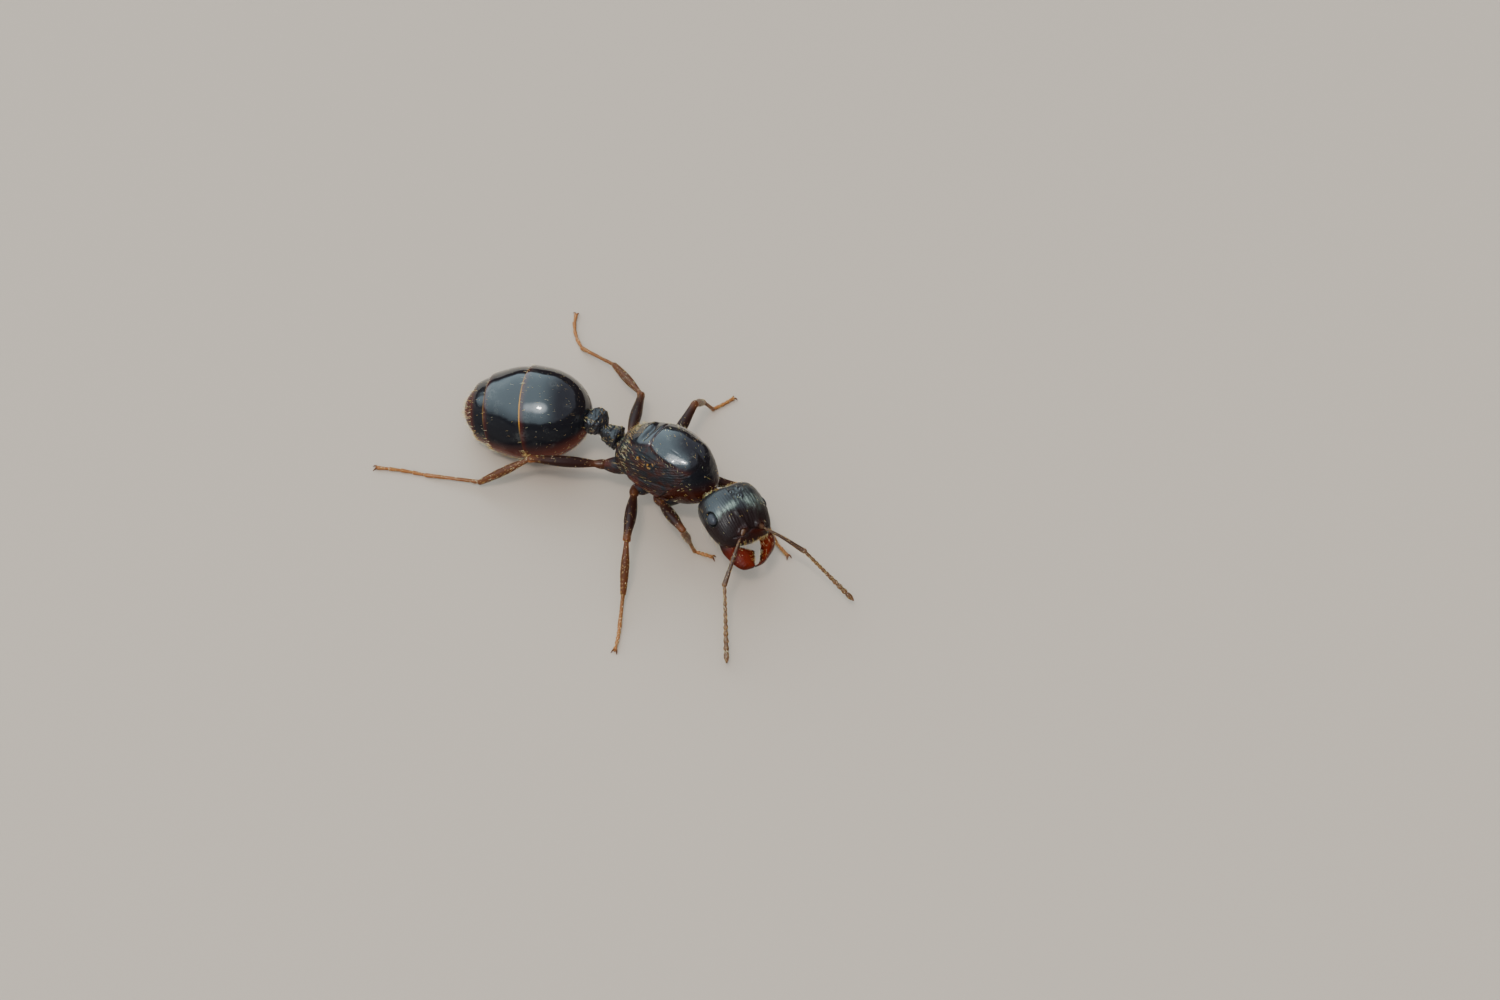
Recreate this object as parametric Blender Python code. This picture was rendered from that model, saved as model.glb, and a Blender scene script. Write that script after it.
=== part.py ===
"""A wingless harvester-ant queen, standing, life-size, parted into its sclerites.

The ant looks along +X, +Y is its left and the floor is z = 0. Shapes are worked out in
millimetres and scaled to metres when a mesh is made. Each body region has a frame of its
own, so that the same sections serve at any pose.
"""

import math

import bmesh
import bpy
from mathutils import Matrix, Vector

MM = 0.001
GAP = 0.1                 # between two sclerites that meet
LIMB_RADIUS = 0.25        # least radius of legs and feelers
SOLE_HEIGHT = 0.22        # axis of a tarsus lying on the floor, which cuts its sole flat

# Frames of the body regions: place, then yaw, pitch (nose down) and roll in degrees.
# The waist's place sets the origin, under the middle of the whole ant.
WAIST = Vector((-1.633, -0.378, 3.00))
TRUNK_TURN = (0.0, 0.0, 0.0)
HEAD_OFFSET, HEAD_TURN = Vector((4.60, 0.11, 0.485)), (-24.6, 14.0, -3.2)
GASTER_OFFSET, GASTER_TURN = Vector((-4.15, -0.70, -0.71)), (19.5, -20.5, 0.0)

# Sections along +X: place, lowest z, highest z, half width, power of the rounded outline.
TRUNK = (
    (0.00, -0.36, 0.24, 0.42, 2.0),
    (0.35, -0.86, 0.90, 0.98, 2.3),
    (1.10, -1.02, 1.56, 1.26, 2.2),
    (2.00, -1.08, 1.94, 1.40, 2.2),
    (2.90, -1.04, 1.93, 1.38, 2.1),
    (3.75, -0.78, 1.54, 1.14, 2.0),
    (4.30, -0.38, 0.90, 0.74, 2.0),
    (4.50, -0.02, 0.62, 0.40, 2.0),
)
SKULL = (
    (0.22, -0.41, 0.37, 0.66, 2.0),
    (0.38, -0.73, 0.77, 1.15, 2.4),
    (0.80, -0.94, 1.00, 1.36, 2.4),
    (1.35, -0.96, 1.04, 1.41, 2.2),
    (1.92, -0.88, 0.94, 1.37, 2.2),
    (2.40, -0.65, 0.69, 1.22, 2.2),
    (2.66, -0.35, 0.39, 0.95, 2.2),
)
PETIOLE = (
    (-0.84, -0.28, 0.30, 0.32, 2.0),
    (-0.72, -0.36, 0.40, 0.39, 2.2),
    (-0.46, -0.46, 0.44, 0.42, 2.4),
    (-0.20, -0.51, 0.52, 0.44, 2.4),
    (-0.06, -0.44, 0.22, 0.34, 2.0),
)
POSTPETIOLE = (
    (-1.74, -0.22, 0.52, 0.40, 2.0),
    (-1.56, -0.25, 0.70, 0.58, 2.2),
    (-1.28, -0.25, 0.74, 0.62, 2.4),
    (-1.04, -0.18, 0.56, 0.46, 2.0),
    (-0.94, -0.12, 0.36, 0.34, 2.0),
)
NECK_START, NECK_END, NECK_RADIUS = (4.2, 0.0, 0.28), (0.6, 0.0, 0.0), 0.30
GASTER_LENGTH, GASTER_WIDTH, GASTER_DEPTH = 5.50, 3.90, 3.90
GASTER_SEAMS = (-2.15, -1.45, 0.25)

# Eye: its middle on the skull, its radii along the head, across and out, and how far it looks up.
EYE_PLACE, EYE_RADII, EYE_LEAN = (1.40, 1.31, 0.37), (0.27, 0.20, 0.15), 38.0
OCELLUS_RADIUS = 0.13
OCELLI = {"front": (1.02, 0.0, 0.97), "left": (0.76, 0.24, 0.92), "right": (0.76, -0.24, 0.92)}
SOCKET = (2.42, 0.44, 0.56)

# Seams of the trunk: a point on each plane and its normal.
COLLAR = ((3.25, 0.0, 0.60), (0.88, 0.0, -0.47))
WING_LINE = ((2.0, 0.0, 1.47), (0.10, 0.0, 1.0))
AXILLA = ((1.566, 0.0, 1.513), (-0.60, 0.0, 1.0))
SCUTELLAR = ((1.45, 0.0, 1.90), (1.0, 0.0, 0.30))
REAR = ((0.72, 0.0, 0.40), (0.95, 0.0, 0.32))
TRUNK_PIECES = {
    "pronotum": ((COLLAR, 1),),
    "scutum": ((COLLAR, -1), (WING_LINE, 1), (SCUTELLAR, 1)),
    "scutellum": ((AXILLA, 1), (SCUTELLAR, -1), (REAR, 1)),
    "mesopleura": ((COLLAR, -1), (WING_LINE, -1), (AXILLA, -1), (REAR, 1)),
    "propodeum": ((REAR, -1),),
}
# Mandibles in the head's frame, from hinge to tip, y towards each one's own side: outer edge,
# inner edge. The left one is a little more open. Then half thickness, height and fall.
MANDIBLES = {
    "left": (
        ((2.36, 1.22), (2.68, 1.44), (3.10, 1.29), (3.42, 0.86), (3.66, 0.38), (3.72, -0.04)),
        ((2.42, 0.80), (2.64, 0.72), (2.97, 0.60), (3.28, 0.42), (3.56, 0.20), (3.68, -0.02)),
    ),
    "right": (
        ((2.36, 1.08), (2.64, 1.12), (3.02, 1.00), (3.38, 0.86), (3.64, 0.62), (3.71, 0.20)),
        ((2.44, 0.50), (2.74, 0.34), (3.00, -0.08), (3.24, -0.04), (3.47, 0.06), (3.68, 0.16)),
    ),
}
MANDIBLE_DEPTHS = (0.26, 0.27, 0.24, 0.20, 0.14, 0.06)
MANDIBLE_Z, MANDIBLE_DROP = -0.34, 0.10
TEETH, TOOTH_DEPTH = 6, 0.07

# Legs: lengths of femur, tibia, basitarsus and tarsus, and middle radii of femur and tibia.
# A coxa runs from its base in the trunk to the hip, both on the left side, at its radius.
LEG_LENGTHS = {
    "front": (2.35, 1.90, 1.20, 0.95),
    "middle": (3.20, 2.30, 1.50, 1.40),
    "hind": (3.15, 2.65, 2.30, 2.25),
}
FEMUR_RADIUS, TIBIA_RADIUS = 0.33, 0.28
COXAE = {
    "front": ((3.25, 0.46, -0.50), (2.62, 0.94, -0.88), 0.44),
    "middle": ((1.95, 0.60, -0.70), (1.55, 1.10, -1.00), 0.38),
    "hind": ((0.75, 0.60, -0.50), (-0.10, 0.98, -0.72), 0.40),
}
# Heading and rise in degrees of femur and tibia, heading of basitarsus, heading and curl of tarsus.
LEG_POSE = {
    ("front", "left"): ((29, -4), (9, -36), -12, (-21, 0)),
    ("front", "right"): ((-35, 15), (88, -57), 74, (18, 0)),
    ("middle", "left"): ((98.2, 13.3), (99.8, -40.8), 80.9, (73.3, 8)),
    ("middle", "right"): ((-65, 8), (-50, -52), -60, (-66, -8)),
    ("hind", "left"): ((111.3, -8.3), (146.4, -17.4), 159.6, (131.1, -42)),
    ("hind", "right"): ((-142, 2), (-152, -47), -156, (-150, 12)),
}
# Heading, rise and length of scape and funiculus.
ANTENNA_POSE = {
    "left": ((19, -18, 2.19), (17, -36.6, 3.17)),
    "right": ((-73, -30, 2.35), (-48, -36, 3.17)),
}

BLACK = (0.012, 0.010, 0.010)
RED_BROWN = (0.070, 0.016, 0.008)
BROWN = (0.10, 0.045, 0.02)
EYE = (0.09, 0.11, 0.13)


def turned(yaw, pitch, roll=0.0):
    """Rotation that heads +X by yaw, dips it by pitch and rolls about it, in degrees."""
    return (
        Matrix.Rotation(math.radians(yaw), 4, "Z")
        @ Matrix.Rotation(math.radians(pitch), 4, "Y")
        @ Matrix.Rotation(math.radians(roll), 4, "X")
    )


def frame(place, turn):
    return Matrix.Translation(place) @ turned(*turn)


TRUNK_FRAME = frame(WAIST, TRUNK_TURN)
HEAD_FRAME = frame(WAIST + HEAD_OFFSET, HEAD_TURN)
GASTER_FRAME = frame(WAIST + GASTER_OFFSET, GASTER_TURN)


def heading(azimuth, rise):
    a, e = math.radians(azimuth), math.radians(rise)
    return Vector((math.cos(a) * math.cos(e), math.sin(a) * math.cos(e), math.sin(e)))


def eased(rows, t):
    """Point at t (0 to 1) on a Catmull-Rom curve through rows of numbers."""
    place = t * (len(rows) - 1)
    k = min(int(place), len(rows) - 2)
    u = place - k
    before, a, b, after = (rows[min(max(k + j, 0), len(rows) - 1)] for j in (-1, 0, 1, 2))
    return [
        0.5 * (2 * q + (r - p) * u + (2 * p - 5 * q + 4 * r - s) * u**2 + (3 * q - p - 3 * r + s) * u**3)
        for p, q, r, s in zip(before, a, b, after)
    ]


def ball(sides, rings):
    """Unit ball with its poles along X, from t = 0 at the back to t = 1 at the front."""
    bm = bmesh.new()
    bmesh.ops.create_uvsphere(bm, u_segments=sides, v_segments=rings, radius=1.0)
    bmesh.ops.rotate(bm, verts=bm.verts, matrix=Matrix.Rotation(math.radians(90), 3, "Y"))
    return bm


def rounded(angle, half_width, half_height, power):
    """Point of a superellipse, at an angle from +Y."""
    c, s = math.cos(angle), math.sin(angle)
    y = half_width * math.copysign(abs(c) ** (2 / power), c)
    z = half_height * math.copysign(abs(s) ** (2 / power), s)
    return y, z


def sectioned(rows, sides=24, rings=16, grow=0.0):
    """Closed body through sections along X, as a ball drawn over them."""
    bm = ball(sides, rings)
    for v in bm.verts:
        t = 1 - math.acos(max(-1, min(1, v.co.x))) / math.pi
        x, low, high, half_width, power = eased(rows, t)
        pole = math.hypot(v.co.y, v.co.z) < 1e-4
        size = 0 if pole else 1
        y, z = rounded(
            math.atan2(v.co.z, v.co.y),
            size * (half_width + grow),
            size * ((high - low) / 2 + grow),
            power,
        )
        ends = grow * (2 * t - 1)
        v.co = (x + ends, y, z + (high + low) / 2)
    return bm


def ellipsoid(radii, sides=16, rings=10, grow=0.0):
    bm = ball(sides, rings)
    bmesh.ops.scale(bm, verts=bm.verts, vec=[r + grow for r in radii])
    return bm


def capsule(points, radii, sides=8, caps=2):
    """Tube with round ends about a run of points, its radius eased between theirs."""
    rings = 2 * caps + max(3, len(points) - 1)
    bm = ball(sides, rings)
    rows = [(*p, r) for p, r in zip(points, radii)]
    end = caps / rings
    for v in bm.verts:
        t = 1 - math.acos(max(-1, min(1, v.co.x))) / math.pi
        angle = math.atan2(v.co.z, v.co.y)
        along = max(0.0, min(1.0, (t - end) / (1 - 2 * end)))
        x, y, z, radius = eased(rows, along)
        ahead = Vector(eased(rows, min(1.0, along + 0.02))[:3])
        behind = Vector(eased(rows, max(0.0, along - 0.02))[:3])
        forward = (ahead - behind).normalized()
        side = forward.cross(Vector((0, 0, 1))).normalized()
        rise = side.cross(forward)
        bend = max(0.0, 1 - min(t, 1 - t) / end) * math.pi / 2
        spoke = math.cos(angle) * side + math.sin(angle) * rise
        push = math.sin(bend) * (1 if t > 0.5 else -1)
        v.co = Vector((x, y, z)) + radius * (max(0.0, math.cos(bend)) * spoke + push * forward)
    bmesh.ops.recalc_face_normals(bm, faces=bm.faces)
    return bm


def cut(bm, place, normal):
    """Keeps what lies behind a plane, and closes the cut."""
    geometry = bm.verts[:] + bm.edges[:] + bm.faces[:]
    done = bmesh.ops.bisect_plane(
        bm, geom=geometry, dist=1e-5, plane_co=place, plane_no=normal, clear_outer=True
    )
    edges = [e for e in done["geom_cut"] if isinstance(e, bmesh.types.BMEdge)]
    if edges:
        bmesh.ops.holes_fill(bm, edges=edges)
    bmesh.ops.recalc_face_normals(bm, faces=bm.faces)
    return bm


def material(name, color, roughness):
    made = bpy.data.materials.new(name)
    made.use_nodes = True
    shader = made.node_tree.nodes["Principled BSDF"]
    shader.inputs["Base Color"].default_value = (*color, 1.0)
    shader.inputs["Roughness"].default_value = roughness
    return made


def placed(name, bm, matrix, color=BLACK, roughness=0.25):
    """Object made from a shape in millimetres, with its own material."""
    bmesh.ops.transform(bm, matrix=Matrix.Scale(MM, 4) @ matrix, verts=bm.verts)
    bmesh.ops.triangulate(bm, faces=bm.faces)
    mesh = bpy.data.meshes.new(name)
    bm.to_mesh(mesh)
    bm.free()
    mesh.shade_smooth()
    mesh.set_sharp_from_angle(angle=math.radians(50))
    mesh.materials.append(material(name, color, roughness))
    made = bpy.data.objects.new(name, mesh)
    bpy.context.scene.collection.objects.link(made)
    return made


def cutter(name, bm, matrix):
    made = placed(name, bm, matrix)
    made.hide_render = True
    made.display_type = "WIRE"
    return made


def fitted(piece, *cutters):
    """Takes the cutters' room out of a piece."""
    for tool in cutters:
        change = piece.modifiers.new(tool.name, "BOOLEAN")
        change.object = tool
        change.operation = "DIFFERENCE"
        change.solver = "EXACT"
    return piece


def trunk():
    for name, seams in TRUNK_PIECES.items():
        bm = sectioned(TRUNK, sides=24, rings=16)
        for (place, normal), side in seams:
            toward = side * Vector(normal).normalized()
            cut(bm, Vector(place) + GAP / 2 * toward, -toward)
        color = BLACK if name in ("scutum", "scutellum", "pronotum") else RED_BROWN
        placed(name, bm, TRUNK_FRAME, color)
    return cutter("trunk_room", sectioned(TRUNK, sides=24, rings=16, grow=GAP), TRUNK_FRAME)


def waist(gaster_room):
    placed("petiole", sectioned(PETIOLE, 16, 12), TRUNK_FRAME, roughness=0.4)
    rear = placed("postpetiole", sectioned(POSTPETIOLE, 16, 12), TRUNK_FRAME, roughness=0.4)
    fitted(rear, gaster_room)


def neck(trunk_room, head_room):
    ends = TRUNK_FRAME @ Vector(NECK_START), HEAD_FRAME @ Vector(NECK_END)
    tube = placed("neck", capsule(straight(*ends, 3), (NECK_RADIUS,) * 3), Matrix(), RED_BROWN)
    fitted(tube, trunk_room, head_room)


def egg(grow=0.0, sides=24, rings=18):
    """The gaster's whole form, fullest ahead of its middle."""
    bm = ball(sides, rings)
    for v in bm.verts:
        swell = 1.0 + 0.10 * v.co.x
        v.co = (
            v.co.x * (GASTER_LENGTH / 2 + grow),
            v.co.y * swell * (GASTER_WIDTH / 2 + grow),
            v.co.z * swell * (GASTER_DEPTH / 2 + grow),
        )
    return bm


def gaster():
    edges = [None, *GASTER_SEAMS, None]
    for i in range(4):
        bm = egg()
        rear, front = edges[i], edges[i + 1]
        if front is not None:
            cut(bm, (front - GAP / 2, 0, 0), (1, 0, 0))
        if rear is not None:
            cut(bm, (rear + GAP / 2, 0, 0), (-1, 0, 0))
        placed(f"gaster_{4 - i}", bm, GASTER_FRAME, roughness=0.12)
    return cutter("gaster_room", egg(grow=GAP), GASTER_FRAME)


def mandible(name, side):
    """Curved blade with a toothed inner edge, hinged at the skull's front corner."""
    rings, sides = 26, 8
    bm = ball(sides, rings)
    for v in bm.verts:
        t = 1 - math.acos(max(-1, min(1, v.co.x))) / math.pi
        outer, inner = (Vector(eased(rows, t)) for rows in MANDIBLES[name])
        wave = (t - 0.40) / 0.56 * TEETH
        if 0 < wave < TEETH:
            inner += Vector((0.35, -1.0)) * TOOTH_DEPTH * (wave % 1.0) * (1.1 - 0.5 * t)
        depth = eased([(d,) for d in MANDIBLE_DEPTHS], t)[0]
        pole = math.hypot(v.co.y, v.co.z) < 1e-4
        across, up = rounded(math.atan2(v.co.z, v.co.y), 1.0, depth, 2.0)
        across, up = (0.0, 0.0) if pole else (across, up)
        middle, half = (outer + inner) / 2, (outer - inner) / 2
        x, y = middle + across * half
        v.co = (x, side * y, MANDIBLE_Z - MANDIBLE_DROP * t + up)
    bmesh.ops.recalc_face_normals(bm, faces=bm.faces)
    return bm


def mirrored(point, side):
    return Vector((point[0], side * point[1], point[2]))


def head():
    skull = placed("head", sectioned(SKULL, sides=24, rings=16), HEAD_FRAME)
    room = cutter("head_room", sectioned(SKULL, sides=24, rings=16, grow=GAP), HEAD_FRAME)
    for name, side in (("left", 1), ("right", -1)):
        lean = Matrix.Rotation(side * math.radians(EYE_LEAN - 90), 4, "X")
        at = HEAD_FRAME @ Matrix.Translation(mirrored(EYE_PLACE, side)) @ lean
        placed(f"eye_{name}", ellipsoid(EYE_RADII), at, EYE, 0.15)
        fitted(skull, cutter(f"eye_room_{name}", ellipsoid(EYE_RADII, grow=GAP / 2), at))
        jaw = placed(f"mandible_{name}", mandible(name, side), HEAD_FRAME, RED_BROWN)
        fitted(jaw, room)
    for name, place in OCELLI.items():
        at = HEAD_FRAME @ Matrix.Translation(place)
        radii = (OCELLUS_RADIUS,) * 3
        placed(f"ocellus_{name}", ellipsoid(radii, 10, 6), at, EYE, 0.1)
        fitted(skull, cutter(f"ocellus_room_{name}", ellipsoid(radii, 10, 6, GAP / 2), at))
    return room


def straight(a, b, count):
    return [a.lerp(b, k / (count - 1)) for k in range(count)]


def curled(start, length, azimuth, curl, count=5):
    """Level run of points that turns by the curl along its length."""
    points = [start]
    for k in range(count - 1):
        way = azimuth + curl * ((k + 0.5) / (count - 1) - 0.5)
        points.append(points[-1] + length / (count - 1) * heading(way, 0))
    return points


def chain(pieces):
    """Limb pieces (name, run of points, radii) end to end, each cut half way round its joints."""
    made = []
    for i, (name, run, radii) in enumerate(pieces):
        bm = capsule(run, radii)
        ahead, behind = (run[-1] - run[-2]).normalized(), (run[1] - run[0]).normalized()
        if i > 0:
            last = pieces[i - 1][1]
            across = ((last[-1] - last[-2]).normalized() + behind).normalized()
            cut(bm, run[0] + GAP / 2 * across, -across)
        if i < len(pieces) - 1:
            following = pieces[i + 1][1]
            across = ((following[1] - following[0]).normalized() + ahead).normalized()
            cut(bm, run[-1] - GAP / 2 * across, across)
        made.append((name, bm))
    return made


def leg(row, side, name, trunk_room):
    femur, tibia, basitarsus, tarsus = LEG_LENGTHS[row]
    femur_way, tibia_way, basitarsus_azimuth, (azimuth, curl) = LEG_POSE[(row, name)]
    base, hip, coxa_radius = COXAE[row]
    base = TRUNK_FRAME @ mirrored(base, side)
    hip = TRUNK_FRAME @ mirrored(hip, side)
    knee = hip + femur * heading(*femur_way)
    ankle = knee + tibia * heading(*tibia_way)
    fall = math.degrees(math.asin((SOLE_HEIGHT - ankle.z) / basitarsus))
    heel = ankle + basitarsus * heading(basitarsus_azimuth, fall)
    r = LIMB_RADIUS
    pieces = chain([
        ("coxa", straight(base, hip, 3), (coxa_radius, coxa_radius, r + 0.05)),
        ("femur", straight(hip, knee, 4), (r, FEMUR_RADIUS, FEMUR_RADIUS, r)),
        ("tibia", straight(knee, ankle, 3), (r, TIBIA_RADIUS, r)),
        ("basitarsus", straight(ankle, heel, 2), (r, r)),
        ("tarsus", curled(heel, tarsus, azimuth, curl), (r,) * 5),
    ])
    for kind, bm in pieces:
        cut(bm, (0, 0, 0), (0, 0, -1))
        color = RED_BROWN if kind == "coxa" else BROWN
        made = placed(f"{kind}_{row}_{name}", bm, Matrix(), color, 0.35)
        if kind == "coxa":
            fitted(made, trunk_room)


def antenna(side, name, head_room):
    (azimuth, rise, scape), (azimuth_2, rise_2, funiculus) = ANTENNA_POSE[name]
    base = HEAD_FRAME @ mirrored(SOCKET, side)
    elbow = base + scape * heading(azimuth, rise)
    tip = elbow + funiculus * heading(azimuth_2, rise_2)
    r = LIMB_RADIUS
    pieces = chain([
        ("scape", straight(base, elbow, 3), (r, r, r)),
        ("funiculus", straight(elbow, tip, 3), (r, r, r + 0.03)),
    ])
    for kind, bm in pieces:
        made = placed(f"{kind}_{name}", bm, Matrix(), BROWN, 0.4)
        if kind == "scape":
            fitted(made, head_room)


def main():
    for existing in list(bpy.data.objects):
        bpy.data.objects.remove(existing, do_unlink=True)
    trunk_room, gaster_room, head_room = trunk(), gaster(), head()
    waist(gaster_room)
    neck(trunk_room, head_room)
    for name, side in (("left", 1), ("right", -1)):
        for row in LEG_LENGTHS:
            leg(row, side, name, trunk_room)
        antenna(side, name, head_room)


main()
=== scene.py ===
import math
from functools import cache

import bmesh
import bpy
import numpy as np
from bpy.props import FloatProperty, FloatVectorProperty, PointerProperty
from mathutils import Matrix, Vector, noise


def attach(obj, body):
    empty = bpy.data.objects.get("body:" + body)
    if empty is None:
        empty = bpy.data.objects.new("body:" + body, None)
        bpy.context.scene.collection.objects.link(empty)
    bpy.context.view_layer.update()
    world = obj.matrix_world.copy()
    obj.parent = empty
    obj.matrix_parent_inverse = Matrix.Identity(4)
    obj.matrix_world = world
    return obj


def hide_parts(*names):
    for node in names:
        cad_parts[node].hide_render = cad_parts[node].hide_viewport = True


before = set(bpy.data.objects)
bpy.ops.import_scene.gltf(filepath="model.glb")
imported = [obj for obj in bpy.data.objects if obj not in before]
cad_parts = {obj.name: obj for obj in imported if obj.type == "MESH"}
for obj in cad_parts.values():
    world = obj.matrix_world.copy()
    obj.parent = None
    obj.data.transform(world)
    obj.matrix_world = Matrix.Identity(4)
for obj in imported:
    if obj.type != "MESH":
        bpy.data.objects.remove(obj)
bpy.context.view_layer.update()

bl_info = {
    "name": "Harvester Ant Queen",
    "version": (1, 0, 0),
    "blender": (4, 5, 0),
    "location": "View3D > Sidebar > Ant",
    "description": "Builds the finished look of a wingless harvester-ant queen over its packed solids",
    "category": "Object",
}

# Shapes are in millimetres in the frame of their body region, and become metres when placed.
MM = 0.001
WAIST = Vector((-1.633, -0.378, 3.00))
HEAD_OFFSET, HEAD_TURN = Vector((4.60, 0.11, 0.485)), (-24.6, 14.0, -3.2)
GASTER_OFFSET, GASTER_TURN = Vector((-4.15, -0.70, -0.71)), (19.5, -20.5, 0.0)
SIDES = (("left", 1), ("right", -1))
# Points round and along each closed form.
TRUNK_GRID, NECK_GRID, WAIST_GRID, GASTER_GRID = (280, 280), (48, 40), (110, 90), (220, 200)
HEAD_GRID, EYE_GRID, OCELLUS_GRID, JAW_GRID = (300, 240), (64, 48), (32, 24), (72, 130)
# Edges that fold by more than this many degrees stay sharp.
SHARP_FOLD = 70

# Sections along +X: place, lowest z, highest z, half width, power of the rounded outline.
TRUNK = (
    (0.00, -0.36, 0.24, 0.42, 2.0),
    (0.35, -0.86, 0.90, 0.98, 2.3),
    (1.10, -1.02, 1.56, 1.26, 2.2),
    (2.00, -1.08, 1.94, 1.40, 2.2),
    (2.90, -1.04, 1.93, 1.38, 2.1),
    (3.75, -0.78, 1.54, 1.14, 2.0),
    (4.30, -0.38, 0.90, 0.74, 2.0),
    (4.50, -0.02, 0.62, 0.40, 2.0),
)
SKULL = (
    (0.22, -0.41, 0.37, 0.66, 2.0),
    (0.38, -0.73, 0.77, 1.15, 2.4),
    (0.80, -0.94, 1.00, 1.36, 2.4),
    (1.35, -0.96, 1.04, 1.41, 2.2),
    (1.92, -0.88, 0.94, 1.37, 2.2),
    (2.40, -0.65, 0.69, 1.22, 2.2),
    (2.66, -0.35, 0.39, 0.95, 2.2),
)
PETIOLE = (
    (-0.98, -0.18, 0.18, 0.20, 2.0),
    (-0.86, -0.27, 0.30, 0.31, 2.0),
    (-0.72, -0.35, 0.38, 0.36, 2.6),
    (-0.46, -0.45, 0.42, 0.39, 3.0),
    (-0.20, -0.50, 0.50, 0.41, 3.0),
    (-0.08, -0.44, 0.24, 0.34, 2.2),
    (0.16, -0.36, 0.04, 0.28, 2.0),
)
POSTPETIOLE = (
    (-1.98, -0.12, 0.40, 0.26, 2.0),
    (-1.74, -0.22, 0.52, 0.40, 2.0),
    (-1.56, -0.24, 0.67, 0.55, 3.0),
    (-1.28, -0.22, 0.70, 0.57, 3.2),
    (-1.04, -0.16, 0.58, 0.46, 2.8),
    (-0.92, -0.12, 0.36, 0.34, 2.0),
    (-0.80, -0.06, 0.24, 0.22, 2.0),
)
# Seams of the trunk: a point of the plane, and its normal.
COLLAR = ((3.25, 0.0, 0.60), (0.88, 0.0, -0.47))
WING_LINE = ((2.0, 0.0, 1.47), (0.10, 0.0, 1.0))
AXILLA = ((1.566, 0.0, 1.513), (-0.60, 0.0, 1.0))
SCUTELLAR = ((1.45, 0.0, 1.90), (1.0, 0.0, 0.30))
REAR = ((0.72, 0.0, 0.40), (0.95, 0.0, 0.32))
PLEURAL = ((2.0, 0.0, 0.15), (-0.30, 0.0, 1.0))
# Plates of the trunk: slot, and the seams with the side that the plate lies on.
PLATES = {
    "pronotum": ("trunk_shell", ((COLLAR, 1),)),
    "scutum": ("trunk_shell", ((COLLAR, -1), (WING_LINE, 1), (SCUTELLAR, 1))),
    "scutellum": ("trunk_shell", ((AXILLA, 1), (SCUTELLAR, -1), (REAR, 1))),
    "mesopleura": ("trunk_side", ((COLLAR, -1), (WING_LINE, -1), (AXILLA, -1), (REAR, 1))),
    "propodeum": ("trunk_side", ((REAR, -1),)),
}
SHOULDER, SPIRACLE = (3.45, 0.55, 1.60), (0.46, 0.98, 0.30)
WING_SCARS = (((2.02, 1.30, 1.02), 0.13), ((1.42, 1.24, 0.98), 0.10))
# Neck: its ends in the trunk's and the head's frame, and its radius.
NECK = ((4.30, 0.0, 0.10), (0.75, 0.0, -0.02), 0.30)

GASTER_RADII, GASTER_SWELL = (2.75, 1.95, 1.95), 0.10
GASTER_SEAMS = (-2.15, -1.45, 0.25)
# How far each gaster plate runs on under the one ahead, and the angle and radius of its groove.
TUCK, GROOVE_ANGLE, GROOVE_RADIUS = 0.16, 0.62, 1.9
# Hairs on the back of each gaster plate, the rearmost first, and on fringe, belly and tip.
BACK_HAIRS, FRINGE_HAIRS, BELLY_HAIRS, TIP_HAIRS = (110, 90, 130, 420), 260, 150, 150

# Eye: its middle on the skull, its radii along the head, across and out, and how far it looks up.
EYE_PLACE, EYE_RADII, EYE_LEAN = (1.40, 1.31, 0.37), (0.255, 0.185, 0.13), 38.0
OCELLI = {"front": (1.02, 0.0, 1.00), "left": (0.76, 0.24, 0.95), "right": (0.76, -0.24, 0.95)}
OCELLUS_RADIUS = 0.08
SOCKET, FRONTAL_LOBE = (2.40, 0.44, 0.56), (2.30, 0.30, 0.70)
FRONTAL_RIDGE = (2.40, 0.22, 0.66), (1.62, 0.46, 0.98)
CHEEK_GROOVE = (2.45, 1.05, -0.10), (1.74, 1.34, 0.10)
# Middle of a patch of painted glint about the ocelli.
PAINTED_GLINT_SPOT = (1.25, 0.45, 1.0)

# Jaws in the head's frame, from hinge to tip, y towards each one's own side: outer edge, inner
# edge. The left one is a little more open. Then half thickness, height, fall and tilt.
JAWS = {
    "left": (
        ((2.20, 1.18), (2.66, 1.45), (3.10, 1.29), (3.42, 0.86), (3.66, 0.38), (3.71, -0.13)),
        ((2.26, 0.79), (2.61, 0.70), (2.97, 0.60), (3.28, 0.42), (3.56, 0.20), (3.66, -0.12)),
    ),
    "right": (
        ((2.20, 1.08), (2.62, 1.12), (3.02, 1.00), (3.38, 0.86), (3.64, 0.62), (3.71, 0.18)),
        ((2.30, 0.55), (2.72, 0.36), (3.00, -0.10), (3.24, -0.06), (3.47, 0.05), (3.69, 0.14)),
    ),
}
JAW_DEPTHS = (0.20, 0.25, 0.22, 0.17, 0.12, 0.04)
JAW_Z, JAW_DROP, JAW_TILT, JAW_BELLY = -0.36, 0.08, 0.16, 0.10
# Teeth of each jaw: how many, how deep, where their row starts and how long it is.
TEETH, TOOTH_DEPTH, TOOTH_START, TOOTH_ROW = 7, 0.07, 0.40, 0.56

# Heading, rise and length of scape and of funiculus.
ANTENNA_POSE = {
    "left": ((19, -18, 2.19), (17, -36.6, 3.17)),
    "right": ((-73, -30, 2.35), (-48, -36, 3.17)),
}
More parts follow.
